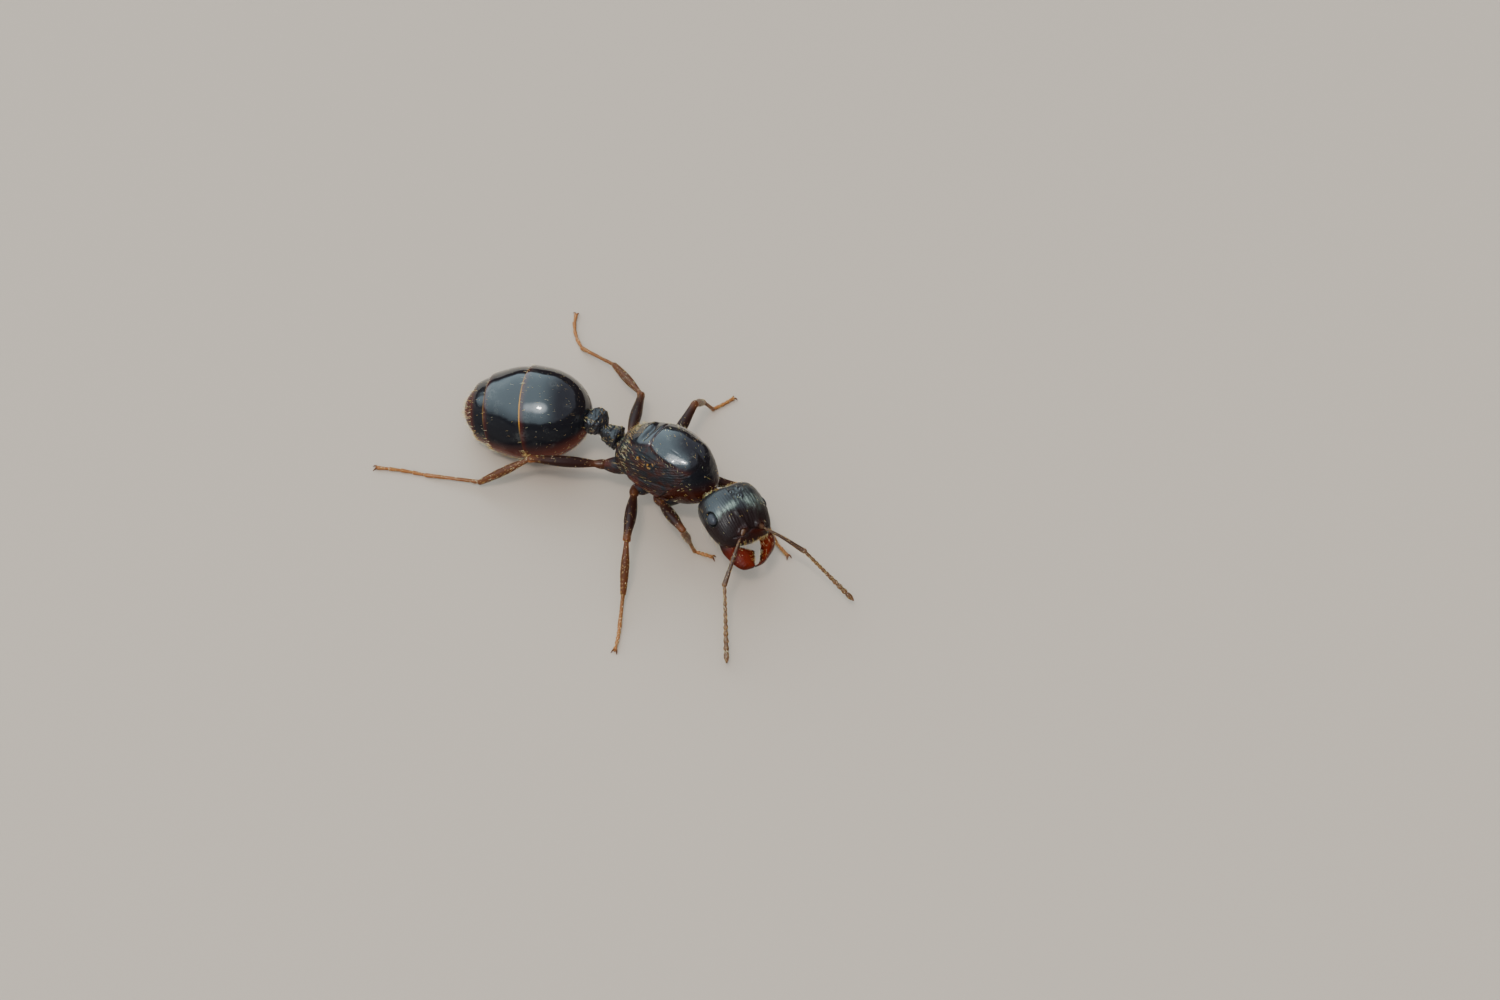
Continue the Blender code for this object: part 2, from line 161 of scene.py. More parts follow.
# Limb segments: radii, then shades, from joint to joint.
SCAPE_BASE = (0.145, 0.12), (0.6, 0.6)
SCAPE = (0.050, 0.074, 0.104, 0.118), (0.7, 0.3, 0.4, 1.0)
TROCHANTER = (0.19, 0.215, 0.15), (0.38, 0.2, 0.38)
FEMUR = (0.13, 0.21, 0.255, 0.245, 0.19, 0.155), (0.45, 0.12, 0.0, 0.02, 0.15, 0.55)
KNEE_CHEEK = (0.085, 0.075), (0.6, 0.8)
SPUR = (0.034, 0.026, 0.005), (0.8, 0.9, 1)
BASITARSUS = (0.085, 0.078, 0.078, 0.090), (0.62, 0.7, 0.78, 0.85)
TOE = (0.050, 0.068, 0.084), (0.8, 0.9, 0.95)
CLAW = (0.045, 0.036, 0.022, 0.008), (0.9, 0.7, 0.4, 0.3)
PAD = (0.05, 0.045), (1.0, 1.0)
# The same, but the radii count against the coxa's, the tibia's and the bead's own thickness.
COXA = (0.9, 0.95, 0.52), (0.1, 0.15, 0.5)
TIBIA = (0.085, 0.125, 0.175, 0.185, 0.160, 0.125), (0.62, 0.42, 0.34, 0.34, 0.42, 0.6)
BEAD, BEAD_SHADES = (0.62, 0.92, 1.06, 0.72), (0.5, 0.9, 1.0, 0.7)
LAST_BEAD = (0.66, 1.04, 0.92, 0.35)
TIBIA_WIDTHS = {"front": 1.0, "middle": 1.0, "hind": 1.08}
# Beads of the feeler: their lengths against each other.
BEAD_SHARES = (1.5, 0.85, 0.85, 0.85, 0.9, 0.9, 0.95, 1.0, 1.1, 1.15, 1.7)

LEG_LENGTHS = {
    "front": (2.35, 1.90, 1.20, 0.95),
    "middle": (3.20, 2.30, 1.50, 1.40),
    "hind": (3.15, 2.65, 2.30, 2.25),
}
# Base and hip of each coxa, and its radius.
COXAE = {
    "front": ((3.25, 0.46, -0.50), (2.62, 0.94, -0.88), 0.42),
    "middle": ((1.95, 0.60, -0.70), (1.55, 1.10, -1.00), 0.36),
    "hind": ((0.75, 0.60, -0.50), (-0.10, 0.98, -0.72), 0.38),
}
# Heading and rise in degrees of femur and tibia, heading of basitarsus, heading and curl of tarsus.
LEG_POSE = {
    ("front", "left"): ((29, -4), (9, -36), -12, (-21, 0)),
    ("front", "right"): ((-35, 15), (88, -57), 74, (18, 0)),
    ("middle", "left"): ((98.2, 13.3), (99.8, -40.8), 80.9, (73.3, 8)),
    ("middle", "right"): ((-65, 8), (-50, -52), -60, (-66, -8)),
    ("hind", "left"): ((111.3, -8.3), (146.4, -17.4), 159.6, (131.1, -42)),
    ("hind", "right"): ((-142, 2), (-152, -47), -156, (-150, 12)),
}
TOE_HEIGHT, CLAW_SPREAD, CLAW_REACH = 0.10, 30, 0.25

# Hairs: rings of a strand, its patch of the unwrap, scatter of its lie, depth of its root, and how
# near it comes to the floor.
STRAND_RINGS, HAIR_PATCH, HAIR_SCATTER, HAIR_ROOT, HAIR_CLEARANCE = 4, 0.003, 0.16, 0.012, 0.004

# Sky: its colours to the left and the right of the camera, about the key light, and below its edge.
SKY_BRIGHT, SKY_DIM = (2.3, 3.0, 3.35), (0.48, 0.50, 0.60)
SKY_GLOW, SKY_LOW = (9.0, 10.0, 10.5), (0.060, 0.024, 0.016)
# Where the sky turns dim to bright, starts to glow and ends, and how its edge tilts and wavers.
SKY_TURN, SKY_GLOWS, SKY_ENDS = (0.55, -0.15), (0.955, 0.998), (0.27, 0.37)
SKY_TILT, SKY_WAVER, SKY_WAVES = 0.25, 0.22, 4.5
# Key light: its direction by the camera's right, up and back, then distance, size, watts and tint.
KEY = (-0.07, 0.18, 0.98)
KEY_DISTANCE, KEY_SIZE, KEY_POWER, KEY_TINT = 0.9, (0.10, 0.07), 3.5, (1.0, 0.97, 0.92)
# Camera: its right and up, its place from the waist, its lens and sensor, and what it sees between.
CAMERA_RIGHT = Vector((0.83641999, 0.51025621, 0.20010048))
CAMERA_UP = Vector((-0.50033785, 0.56180176, 0.65881774))
CAMERA_FROM_WAIST = (5.333, -2.458, 173.6)
CAMERA_LENS, CAMERA_SENSOR, CAMERA_RANGE = 100.0, 36.0, (0.001, 10.0)
FLOOR_HALF = 1.5


# --- Sizes and colours --------------------------------------------------------------------


def length(label, description, millimetres):
    return FloatProperty(
        name=label,
        description=description,
        default=millimetres * MM,
        min=0.0,
        precision=6,
        subtype="DISTANCE",
        unit="LENGTH",
    )


def factor(label, description, value):
    return FloatProperty(name=label, description=description, default=value, min=0.0, subtype="FACTOR")


def colour(label, description, value):
    return FloatVectorProperty(
        name=label, description=description, default=value, min=0.0, max=1.0, subtype="COLOR"
    )


class AntSizes(bpy.types.PropertyGroup):
    """Depths and thicknesses of the surface detail."""

    seam: length("Seam depth", "Depth of the seams between the trunk's plates", 0.045)
    lip: length("Plate lip", "Height of each gaster plate's rear edge over the next plate", 0.045)
    fold: length("Side folds", "Height of the folds on the trunk's sides", 0.035)
    ruga: length("Ruga height", "Height of the ridges on waist and propodeum", 0.016)
    hair: length("Hair radius", "Radius of a hair at its root", 0.0070)
    hair_amount: factor("Hair amount", "How many hairs grow, against the usual number", 1.0)
    limb: factor("Limb thickness", "Thickness of legs and feelers, against the usual one", 1.0)


class AntColours(bpy.types.PropertyGroup):
    """Colours of the shell, the limbs and the hair."""

    black: colour("Shell", "Body shell", (0.0075, 0.0070, 0.0085))
    # On the gaster's underside this brown is a painted warm reflection.
    brown: colour("Shell edges", "Thin edges and underside of the shell", (0.145, 0.018, 0.005))
    # Painted glint: a pale band and patch painted across the head's ridges where the key light would catch
    # them.
    painted_glint: colour("Painted glint", "Pale bloom between the ridges across the head", (0.160, 0.185, 0.150))
    side: colour("Trunk sides", "Rough plates of the trunk's sides", (0.028, 0.0050, 0.0022))
    membrane: colour("Membrane", "Bands between the gaster's plates", (0.50, 0.22, 0.03))
    jaw: colour("Jaws", "Mandibles", (0.085, 0.0070, 0.0015))
    eye: colour("Eyes", "Eye lenses", (0.026, 0.022, 0.025))
    femur: colour("Femur", "Dark middle of the upper legs", (0.016, 0.0045, 0.0030))
    knee: colour("Knees", "Joints and lower legs", (0.080, 0.024, 0.0085))
    foot: colour("Feet", "Tarsi and claws", (0.240, 0.085, 0.025))
    feeler: colour("Feelers", "Antennae", (0.095, 0.040, 0.016))
    hair: colour("Hair", "Body hair", (0.58, 0.34, 0.10))
    floor: colour("Floor", "Stage floor", (0.37, 0.275, 0.21))


def sizes():
    return bpy.context.scene.ant_sizes


def colours():
    return bpy.context.scene.ant_colours


# --- Shapes -------------------------------------------------------------------------------


def turned(yaw, pitch, roll=0.0):
    """Rotation that heads +X by yaw, dips it by pitch and rolls about it, in degrees."""
    return (
        Matrix.Rotation(math.radians(yaw), 4, "Z")
        @ Matrix.Rotation(math.radians(pitch), 4, "Y")
        @ Matrix.Rotation(math.radians(roll), 4, "X")
    )


WORLD = Matrix()
TRUNK_FRAME = Matrix.Translation(WAIST)
HEAD_FRAME = Matrix.Translation(WAIST + HEAD_OFFSET) @ turned(*HEAD_TURN)
GASTER_FRAME = Matrix.Translation(WAIST + GASTER_OFFSET) @ turned(*GASTER_TURN)


def heading(azimuth, rise):
    a, e = math.radians(azimuth), math.radians(rise)
    return Vector((math.cos(a) * math.cos(e), math.sin(a) * math.cos(e), math.sin(e)))


def mirrored(point, side):
    return Vector((point[0], side * point[1], point[2]))


def straight(a, b, count):
    return [a.lerp(b, k / (count - 1)) for k in range(count)]


def eased(rows, t):
    """Rows of numbers at t (0 to 1), on a Catmull-Rom curve."""
    rows = np.asarray(rows, float)
    place = np.clip(t, 0, 1) * (len(rows) - 1)
    k = np.minimum(place.astype(int), len(rows) - 2)
    u = (place - k)[:, None]
    before, a, b, after = (rows[np.clip(k + j, 0, len(rows) - 1)] for j in (-1, 0, 1, 2))
    return 0.5 * (
        2 * a
        + (b - before) * u
        + (2 * before - 5 * a + 4 * b - after) * u**2
        + (3 * a - before - 3 * b + after) * u**3
    )


def eased_number(values, t):
    return eased([(v,) for v in values], t)[:, 0]


def smooth(low, high, value):
    """0 below low, 1 above high, eased between."""
    s = np.clip((value - low) / (high - low), 0, 1)
    return s * s * (3 - 2 * s)


def mound(distance, width):
    return np.exp(-((distance / width) ** 2))


def waves(turns):
    return np.sin(2 * math.pi * turns)


def reach(points, place):
    """Distance of points from a place."""
    return np.linalg.norm(points - np.array(place), axis=1)


def stretch(points, start, end):
    """Distance of points from the straight line between two places."""
    start, way = np.array(start), np.array(end) - np.array(start)
    along = np.clip((points - start) @ way / (way @ way), 0, 1)
    return np.linalg.norm(points - start - along[:, None] * way, axis=1)


def beyond(plane, points):
    """Signed distance past a plane."""
    place, normal = plane
    normal = np.array(normal) / np.linalg.norm(normal)
    return (points - np.array(place)) @ normal


def grain(points, scale, octaves=2):
    """Smooth noise about 0, with about scale waves in a millimetre, along all axes or each."""
    scaled = points * np.asarray(scale, float)
    return np.array([noise.fractal(Vector(p), 1.0, 2.0, octaves) for p in scaled])


def unit(vectors):
    return vectors / (np.linalg.norm(vectors, axis=1)[:, None] + 1e-12)


def mesh_of(name, bm):
    """A mesh from a bmesh, which is then let go."""
    mesh = bpy.data.meshes.new(name)
    bm.to_mesh(mesh)
    bm.free()
    return mesh


def placed(name, data):
    made = bpy.data.objects.new(name, data)
    bpy.context.scene.collection.objects.link(made)
    return made


class Form:
    """A closed form moulded over a ball whose poles lie along X, in millimetres."""

    def __init__(self, sides, rings):
        self.sides, self.rings = sides, rings
        bm = bmesh.new()
        bmesh.ops.create_uvsphere(bm, u_segments=sides, v_segments=rings, radius=1.0)
        bmesh.ops.rotate(bm, verts=bm.verts, matrix=Matrix.Rotation(math.pi / 2, 3, "Y"))
        self.mesh = mesh_of("form", bm)
        self.ball = ball = self.points()
        self.t = 1 - np.arccos(np.clip(ball[:, 0], -1, 1)) / math.pi
        self.angle = np.arctan2(ball[:, 2], ball[:, 1])
        self.pole = np.hypot(ball[:, 1], ball[:, 2]) < 1e-4

    def read(self, layer, key):
        flat = np.empty(3 * len(layer), np.float32)
        layer.foreach_get(key, flat)
        return flat.reshape(-1, 3).astype(float)

    def points(self):
        return self.read(self.mesh.vertices, "co")

    def normals(self):
        return self.read(self.mesh.vertex_normals, "vector")

    def mould(self, points):
        self.mesh.vertices.foreach_set("co", np.ascontiguousarray(points, np.float32).ravel())
        self.mesh.update()
        return self

    def section(self, rows):
        x, low, high, half_width, power = eased(rows, self.t).T
        c, s = np.cos(self.angle), np.sin(self.angle)
        size = np.where(self.pole, 0.0, 1.0)
        y = size * half_width * np.sign(c) * np.abs(c) ** (2 / power)
        z = size * (high - low) / 2 * np.sign(s) * np.abs(s) ** (2 / power)
        return self.mould(np.stack([x, y, z + (high + low) / 2], 1))

    def ellipsoid(self, radii, place=(0, 0, 0)):
        return self.mould(self.ball * np.array(radii) + np.array(place))

    def tube(self, run, radii, cap=0.08, flat=1.0, step=0.02):
        """A tube with round ends about a run of points, flat times as deep as it is wide."""
        along = np.clip((self.t - cap) / (1 - 2 * cap), 0, 1)
        run = [tuple(p) for p in run]
        centre, radius = eased(run, along), eased_number(radii, along)[:, None]
        after, before = np.minimum(1, along + step), np.maximum(0, along - step)
        forward = unit(eased(run, after) - eased(run, before))
        side = unit(np.cross(forward, (0.02, 0.03, 1.0)))
        rise = np.cross(side, forward)
        bend = np.maximum(0, 1 - np.minimum(self.t, 1 - self.t) / cap) * math.pi / 2
        spoke = np.cos(self.angle)[:, None] * side + flat * np.sin(self.angle)[:, None] * rise
        push = (np.sin(bend) * np.where(self.t > 0.5, 1, -1))[:, None]
        ring = np.maximum(0, np.cos(bend))[:, None]
        return self.mould(centre + radius * (ring * spoke + push * forward))

    def carve(self, offset):
        """Moves the surface out along its normals, by millimetres."""
        return self.mould(self.points() + self.normals() * np.asarray(offset)[:, None])

    def mark(self, name, values):
        """Keeps a number for each point, for the materials to read."""
        layer = self.mesh.attributes.get(name) or self.mesh.attributes.new(name, "FLOAT", "POINT")
        layer.data.foreach_set("value", (values * np.ones(len(self.t))).astype(np.float32))
        return self

    def middle_fade(self, low, high):
        """0 at the two poles, and 1 where the form is well away from them."""
        return smooth(low, high, self.t * (1 - self.t) * 4)

    def kept(self, cuts):
        """The form's mesh, cut back to one side of each plane and closed there."""
        bm = bmesh.new()
        bm.from_mesh(self.mesh)
        for (place, normal), side in cuts:
            geometry = bm.verts[:] + bm.edges[:] + bm.faces[:]
            away = -side * Vector(normal).normalized()
            done = bmesh.ops.bisect_plane(
                bm, geom=geometry, dist=1e-5, plane_co=place, plane_no=away, clear_outer=True
            )
            rim = [e for e in done["geom_cut"] if isinstance(e, bmesh.types.BMEdge)]
            bmesh.ops.holes_fill(bm, edges=rim)
        return bm

    def triangles(self):
        """The surface's triangles, ordered by ring and spoke: the ball's own order varies per run."""
        self.mesh.calc_loop_triangles()
        corners = np.empty(3 * len(self.mesh.loop_triangles), np.int32)
        self.mesh.loop_triangles.foreach_get("vertices", corners)
        spoke = np.rint(self.angle / (2 * math.pi) * self.sides) % self.sides
        order = np.lexsort((np.where(self.pole, 0, spoke), np.rint(self.t * self.rings)))
        rank = np.argsort(order)
        return order[np.unique(np.sort(rank[corners.reshape(-1, 3)], 1), axis=0)]

    def roots(self, count, weight, rng):
        """Random places on the surface: points, normals and unwrapped places."""
        points, normals, corners = self.points(), self.normals(), self.triangles()
        a, b, c = (points[corners[:, k]] for k in range(3))
        area = np.linalg.norm(np.cross(b - a, c - a), axis=1)
        weight = area * np.clip((weight * np.ones(len(points)))[corners].mean(1), 0, None)
        picks = corners[rng.choice(len(corners), count, p=weight / weight.sum())]
        share = rng.dirichlet((1, 1, 1), count)[:, :, None]
        place = (points[picks] * share).sum(1)
        facing = unit((normals[picks] * share).sum(1))
        unwrap = np.stack([self.angle[picks[:, 0]] / (2 * math.pi) + 0.5, self.t[picks[:, 0]]], 1)
        return place, facing, unwrap


def joined(*forms):
    bm = bmesh.new()
    for form in forms:
        bm.from_mesh(form.mesh)
    return bm


def shown(name, mesh, material, nodes=()):
    """One object of the ant from its finished mesh, which may stand for CAD nodes."""
    mesh.materials.append(material)
    made = placed(name, mesh)
    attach(made, "root")
    if nodes:
        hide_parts(*nodes)


def skin(name, bm, frame_of, material, node):
    """A smooth piece from a bmesh in a region's frame, in place of a CAD node."""
    bmesh.ops.transform(bm, matrix=Matrix.Scale(MM, 4) @ frame_of, verts=bm.verts)
    bmesh.ops.recalc_face_normals(bm, faces=bm.faces)
    mesh = mesh_of(name, bm)
    mesh.shade_smooth()
    mesh.set_sharp_from_angle(angle=math.radians(SHARP_FOLD))
    shown(name, mesh, material, [node])


# --- Hair ---------------------------------------------------------------------------------


def strand():
    """A straight hair of unit height and radius: a three-sided cone, ringed so that it can bend."""
    bm = bmesh.new()
    bmesh.ops.create_cone(
        bm,
        cap_ends=True,
        segments=3,
        radius1=1,
        radius2=0,
        depth=1,
        matrix=Matrix.Translation((0, 0, 0.5)),
    )
    for k in range(1, STRAND_RINGS):
        geometry = bm.verts[:] + bm.edges[:] + bm.faces[:]
        bmesh.ops.bisect_plane(
            bm, geom=geometry, dist=1e-6, plane_co=(0, 0, k / STRAND_RINGS), plane_no=(0, 0, 1)
        )
    bmesh.ops.recalc_face_normals(bm, faces=bm.faces)
    patch = bm.loops.layers.uv.new("OFBake")
    for face in bm.faces:
        for loop in face.loops:
            x, y, z = loop.vert.co
            loop[patch].uv = (0.5 * x, 0.8 * (z - 0.5) + 0.2 * y)
    return mesh_of("strand", bm)


def coat(name, tufts):
    """A region's hairs as one object. Each tuft is roots, first way, last way, length, unwrap."""
    one = strand()
    shape = np.array([v.co for v in one.vertices])
    spots = np.array([spot.uv for spot in one.uv_layers["OFBake"].data])
    roots, first, last, long, unwrap = (np.concatenate(parts) for parts in zip(*tufts))
    bm = bmesh.new()
    for _ in roots:
        bm.from_mesh(one)
    mesh = mesh_of(name, bm)
    s = shape[None, :, 2:]
    way = first[:, None] * (1 - s) + last[:, None] * s
    way = unit(way.reshape(-1, 3)).reshape(len(roots), -1, 3)
    side = unit(np.cross(way, (0.31, 0.17, 0.93)).reshape(-1, 3)).reshape(way.shape)
    other = np.cross(way, side)
    bow = first[:, None] * (s - s * s / 2) + last[:, None] * s * s / 2
    centre = roots[:, None] + long[:, None, None] * bow
    radius = sizes().hair / MM
    points = centre + radius * (shape[None, :, :1] * side + shape[None, :, 1:2] * other)
    points[..., 2] = np.maximum(points[..., 2], HAIR_CLEARANCE)
    mesh.vertices.foreach_set("co", (points * MM).astype(np.float32).ravel())
    layer = mesh.uv_layers["OFBake"].data
    layer.foreach_set("uv", (unwrap[:, None] + spots[None] * HAIR_PATCH).astype(np.float32).ravel())
    mesh.update()
    mesh.shade_smooth()
    shown(name, mesh, hair_finish())


def tuft(form, frame_of, count, weight, lie, rise, long, seed):
    """Hairs rooted on a form, which lean towards lie and stand off by rise."""
    rng = np.random.default_rng(seed)
    count = max(1, round(count * sizes().hair_amount))
    points, normals, unwrap = form.roots(count, weight, rng)
    lie = np.asarray(lie, float) + rng.normal(0, HAIR_SCATTER, points.shape)
    along = unit(lie - normals * np.sum(lie * normals, 1)[:, None])
    first = unit(along + normals * rise * rng.uniform(0.6, 1.4, count)[:, None])
    last = unit(along + normals * rise * 0.25)
    turn, move = np.array(frame_of.to_3x3()), np.array(frame_of.translation)
    long = long * rng.uniform(0.55, 1.25, count)
    return (points - normals * HAIR_ROOT) @ turn.T + move, first @ turn.T, last @ turn.T, long, unwrap


def limb_hair(rows, seed):
    """Even tufts from rows of limb segment, count, lie, rise and length."""
    return [tuft(form, WORLD, count, 1.0, *row, seed + k) for k, (form, count, *row) in enumerate(rows)]


# --- Finishes -----------------------------------------------------------------------------


class Signal:
    """What a shader socket gives, for arithmetic."""

    def __init__(self, finish, socket):
        self.finish, self.socket = finish, socket

    def math(self, operation, *values):
        return self.finish.node("ShaderNodeMath", {"operation": operation}, dict(enumerate(values)))

    def __add__(self, other):
        return self.math("ADD", self, other)

    def __sub__(self, other):
        return self.math("SUBTRACT", self, other)

    def __rsub__(self, other):
        return self.math("SUBTRACT", other, self)

    def __mul__(self, other):
        return self.math("MULTIPLY", self, other)

    __radd__, __rmul__ = __add__, __mul__

    def step(self, low, high):
        """0 at low and 1 at high, eased between."""
        inputs = {"Value": self, "From Min": low, "From Max": high}
        return self.finish.node("ShaderNodeMapRange", {"interpolation_type": "SMOOTHSTEP"}, inputs)


class Wiring:
    """A node tree written as expressions."""

    def __init__(self, tree):
        self.tree = tree

    def node(self, kind, settings=None, inputs=None, out=0):
        made = self.tree.nodes.new(kind)
        for key, value in (settings or {}).items():
            setattr(made, key, value)
        for key, value in (inputs or {}).items():
            self.feed(made.inputs[key], value)
        return Signal(self, made.outputs[out])

    def feed(self, socket, value):
        if isinstance(value, Signal):
            self.tree.links.new(value.socket, socket)
        elif socket.type == "RGBA":
            socket.default_value = (*value, 1.0)
        else:
            socket.default_value = value

    def along(self, way, axis):
        return self.node("ShaderNodeVectorMath", {"operation": "DOT_PRODUCT"}, {0: way, 1: axis}, out="Value")

    def blend(self, mask, under, over):
        inputs = {0: mask, 6: under, 7: over}
        return self.node("ShaderNodeMix", {"data_type": "RGBA"}, inputs, out=2)


class Finish(Wiring):
    """A material about one Principled shader. Patterns are in millimetres of the region's frame."""

    def __init__(self, name, frame_of=WORLD, **constants):
        self.material = bpy.data.materials.new(name)
        self.material.use_nodes = True
        super().__init__(self.material.node_tree)
        self.shader = self.tree.nodes["Principled BSDF"]
        for socket, value in constants.items():
            self.shader.inputs[socket.replace("_", " ")].default_value = value
        inputs = {
            "Vector": self.node("ShaderNodeTexCoord", out="Object"),
            "Location": frame_of.translation * MM,
            "Rotation": frame_of.to_euler(),
            "Scale": (MM, MM, MM),
        }
        self.at = self.node("ShaderNodeMapping", {"vector_type": "TEXTURE"}, inputs)

    def mark(self, name):
        return self.node("ShaderNodeAttribute", {"attribute_name": name}, out="Fac")

    def scaled(self, scale):
        """The place, times a number or one number for each axis."""
        scale = scale if isinstance(scale, tuple) else (scale,) * 3
        return self.node("ShaderNodeVectorMath", {"operation": "MULTIPLY"}, {0: self.at, 1: scale})

    def noise(self, scale, detail=2.0):
        """Soft noise from 0 to 1, scale waves in a millimetre, along all axes or each."""
        inputs = {"Vector": self.scaled(scale), "Scale": 1.0, "Detail": detail}
        return self.node("ShaderNodeTexNoise", {}, inputs)

    def cells(self, scale):
        """Distance from scattered points, scale of them in a millimetre."""
        inputs = {"Vector": self.scaled(scale), "Scale": 1.0}
        return self.node("ShaderNodeTexVoronoi", {}, inputs, out="Distance")

    def coat(self, weight):
        self.feed(self.shader.inputs["Coat Weight"], weight)

    def done(self, colour, roughness, height, depth):
        """Feeds the shader. Depth is the height's full range, in millimetres."""
        self.feed(self.shader.inputs["Base Color"], colour)
        self.feed(self.shader.inputs["Roughness"], roughness)
        bump = self.node("ShaderNodeBump", {}, {"Height": height, "Strength": 1.0, "Distance": depth * MM})
        self.feed(self.shader.inputs["Normal"], bump)
        return self.material


@cache
def plate_finish():
    """Smooth black plates with fine punctures, brown at their edges, which gloss on their tops."""
    made, tints = Finish("glossy_plate", TRUNK_FRAME, IOR=1.20, Coat_Roughness=0.05, Coat_IOR=1.5), colours()
    cloud, grit, ripple = made.noise(1.1, 3.0), made.noise(17.0), made.noise(3.6, 3.0)
    punctures = made.cells(6.0).step(0.07, 0.17)
    dust = made.noise(2.6, 4.0).step(0.55, 0.78) * made.cells(9.0).step(0.3, 0.6)
    edge, low = made.mark("seam"), made.mark("low")
    made.coat(0.95 * (1 - low) * (1 - 0.9 * made.mark("flank")))
    base = made.blend(edge * 0.35 * cloud.step(0.3, 0.6), tints.black, tints.brown)
    base = made.blend(low, base, tints.side)
    base = made.blend(dust * 0.10, base, (0.30, 0.27, 0.22))
    rough = 0.10 + 0.10 * grit + 0.12 * edge + 0.20 * dust + 0.12 * ripple.step(0.48, 0.66)
    return made.done(base, rough, punctures + 0.35 * grit + 3.2 * ripple, 0.014)


@cache
def side_finish():
    """Rough folded plates: dark red-brown, with gold-brown dust in the folds."""
    made, tints = Finish("rough_side", TRUNK_FRAME, IOR=1.27), colours()
    grit, cloud = made.noise(15.0, 3.0), made.noise((2.2, 2.2, 3.2), 3.0)
    ridges = made.noise((3.0, 16.0, 16.0), 2.0)
    edge = made.mark("seam")
    base = made.blend(cloud.step(0.40, 0.72), tints.black, tints.side)
    base = made.blend(made.mark("amber") * cloud.step(0.3, 0.6), base, tints.brown)
    base = made.blend(edge * grit.step(0.50, 0.8) * 0.6, base, (0.13, 0.062, 0.022))
    base = made.blend(made.mark("scar"), base, tints.membrane)
    rough = 0.30 + 0.22 * grit + 0.15 * edge
    return made.done(base, rough, grit + ridges, 0.03)


@cache
def waist_finish():
    made = Finish("rugose_waist", TRUNK_FRAME, IOR=1.38, Coat_Weight=0.15, Coat_Roughness=0.2)
    grit, ruga = made.noise(16.0), made.noise((11.0, 5.0, 9.0), 2.0)
    base = made.blend(grit.step(0.5, 0.8) * 0.5, colours().black, colours().side)
    return made.done(base, 0.24 + 0.16 * grit, ruga + 0.5 * grit, 0.03)


@cache
def gaster_finish():
    """Mirror-black plates, a painted red-brown reflection below, and gold membrane with a painted highlight
    where one plate comes out from under the next.
    """
    made, tints = Finish("gaster_plate", GASTER_FRAME, IOR=1.15, Coat_Roughness=0.05, Coat_IOR=1.5), colours()
    streaks = made.noise((3.0, 26.0, 26.0), 2.0)
    cloud, grit = made.noise(0.9, 3.0), made.noise(22.0)
    dust = made.noise(1.6, 4.0).step(0.50, 0.75) * made.cells(10.0).step(0.25, 0.55)
    thin_and_painted_reflection, band = made.mark("thin_and_painted_reflection"), made.mark("band")
    made.coat(0.95 * made.mark("gloss") * (1 - band))
    # Brown where the cuticle is thin, and red-brown on the underside as a painted warm reflection.
    base = made.blend(thin_and_painted_reflection * (0.55 + 0.45 * cloud), tints.black, tints.brown)
    base = made.blend(dust * 0.07, base, (0.32, 0.30, 0.26))
    # The band mark holds the membrane and its painted highlight.
    base = made.blend(band, base, tints.membrane)
    rough = 0.07 + 0.07 * streaks + 0.14 * dust + 0.20 * band
    return made.done(base, rough, 0.7 * streaks + 0.3 * grit, 0.0045)


@cache
def head_finish():
    """Satin black with fine ridges that run along the head, brown at the mouth's edge, a painted glint across
    the ridges and painted shade round the eyes.
    """
    made, tints = Finish("striate_head", HEAD_FRAME, IOR=1.18, Coat_Roughness=0.28, Coat_IOR=1.5), colours()
    striae = made.noise((1.3, 14.0, 12.0), 2.0)
    sheen, dark = made.mark("sheen"), made.mark("dark")
    made.coat(0.90 * sheen * (1 - 0.9 * dark))
    grit, cloud = made.noise(20.0), made.noise(1.4, 3.0)
    base = made.blend(cloud.step(0.45, 0.75) * 0.5, tints.black, (0.010, 0.013, 0.012))
    base = made.blend(0.8 * (1 - sheen), base, (0.013, 0.0055, 0.0045))
    base = made.blend(made.mark("mouth") * cloud.step(0.25, 0.6), base, 0.18 * Vector(tints.brown))
    # Painted glint across the ridges, broken up by the ridges and noise.
    painted_glint = made.mark("painted_glint") * (striae + 0.6 * grit + cloud - 1.0).step(0.05, 0.55)
    base = made.blend(painted_glint, base, tints.painted_glint)
    # Painted shade: near black in the groove round each eye.
    base = made.blend(dark, base, (0.002, 0.002, 0.002))
    return made.done(base, 0.22 + 0.14 * grit + 0.30 * dark, striae + 0.3 * grit, 0.018)


@cache
def jaw_finish():
    made = Finish(
        "red_jaw", HEAD_FRAME, IOR=1.16, Coat_Weight=0.05, Coat_Roughness=0.12, Coat_IOR=1.5,
        Subsurface_Weight=0.04, Subsurface_Radius=(1, 0.2, 0.08), Subsurface_Scale=0.0002,
    )
    cloud, streaks = made.noise(2.2, 3.0), made.noise((4.0, 14.0, 14.0))
    base = made.blend(made.mark("edge"), colours().jaw, (0.012, 0.005, 0.004))
    base = made.blend(cloud.step(0.50, 0.80) * 0.6, base, (0.025, 0.004, 0.002))
    return made.done(base, 0.20 + 0.14 * streaks, streaks, 0.010)


@cache
def eye_finish():
    """Blue-grey lens with fine facets."""
    made = Finish("eye_lens", HEAD_FRAME, IOR=1.25, Coat_Weight=0.1, Coat_Roughness=0.2)
    facets, cloud = made.cells(28.0), made.noise(5.0)
    base = made.blend(cloud * 0.5, colours().eye, (0.020, 0.026, 0.036))
    return made.done(base, 0.22 + 0.15 * facets, 1 - facets, 0.006)


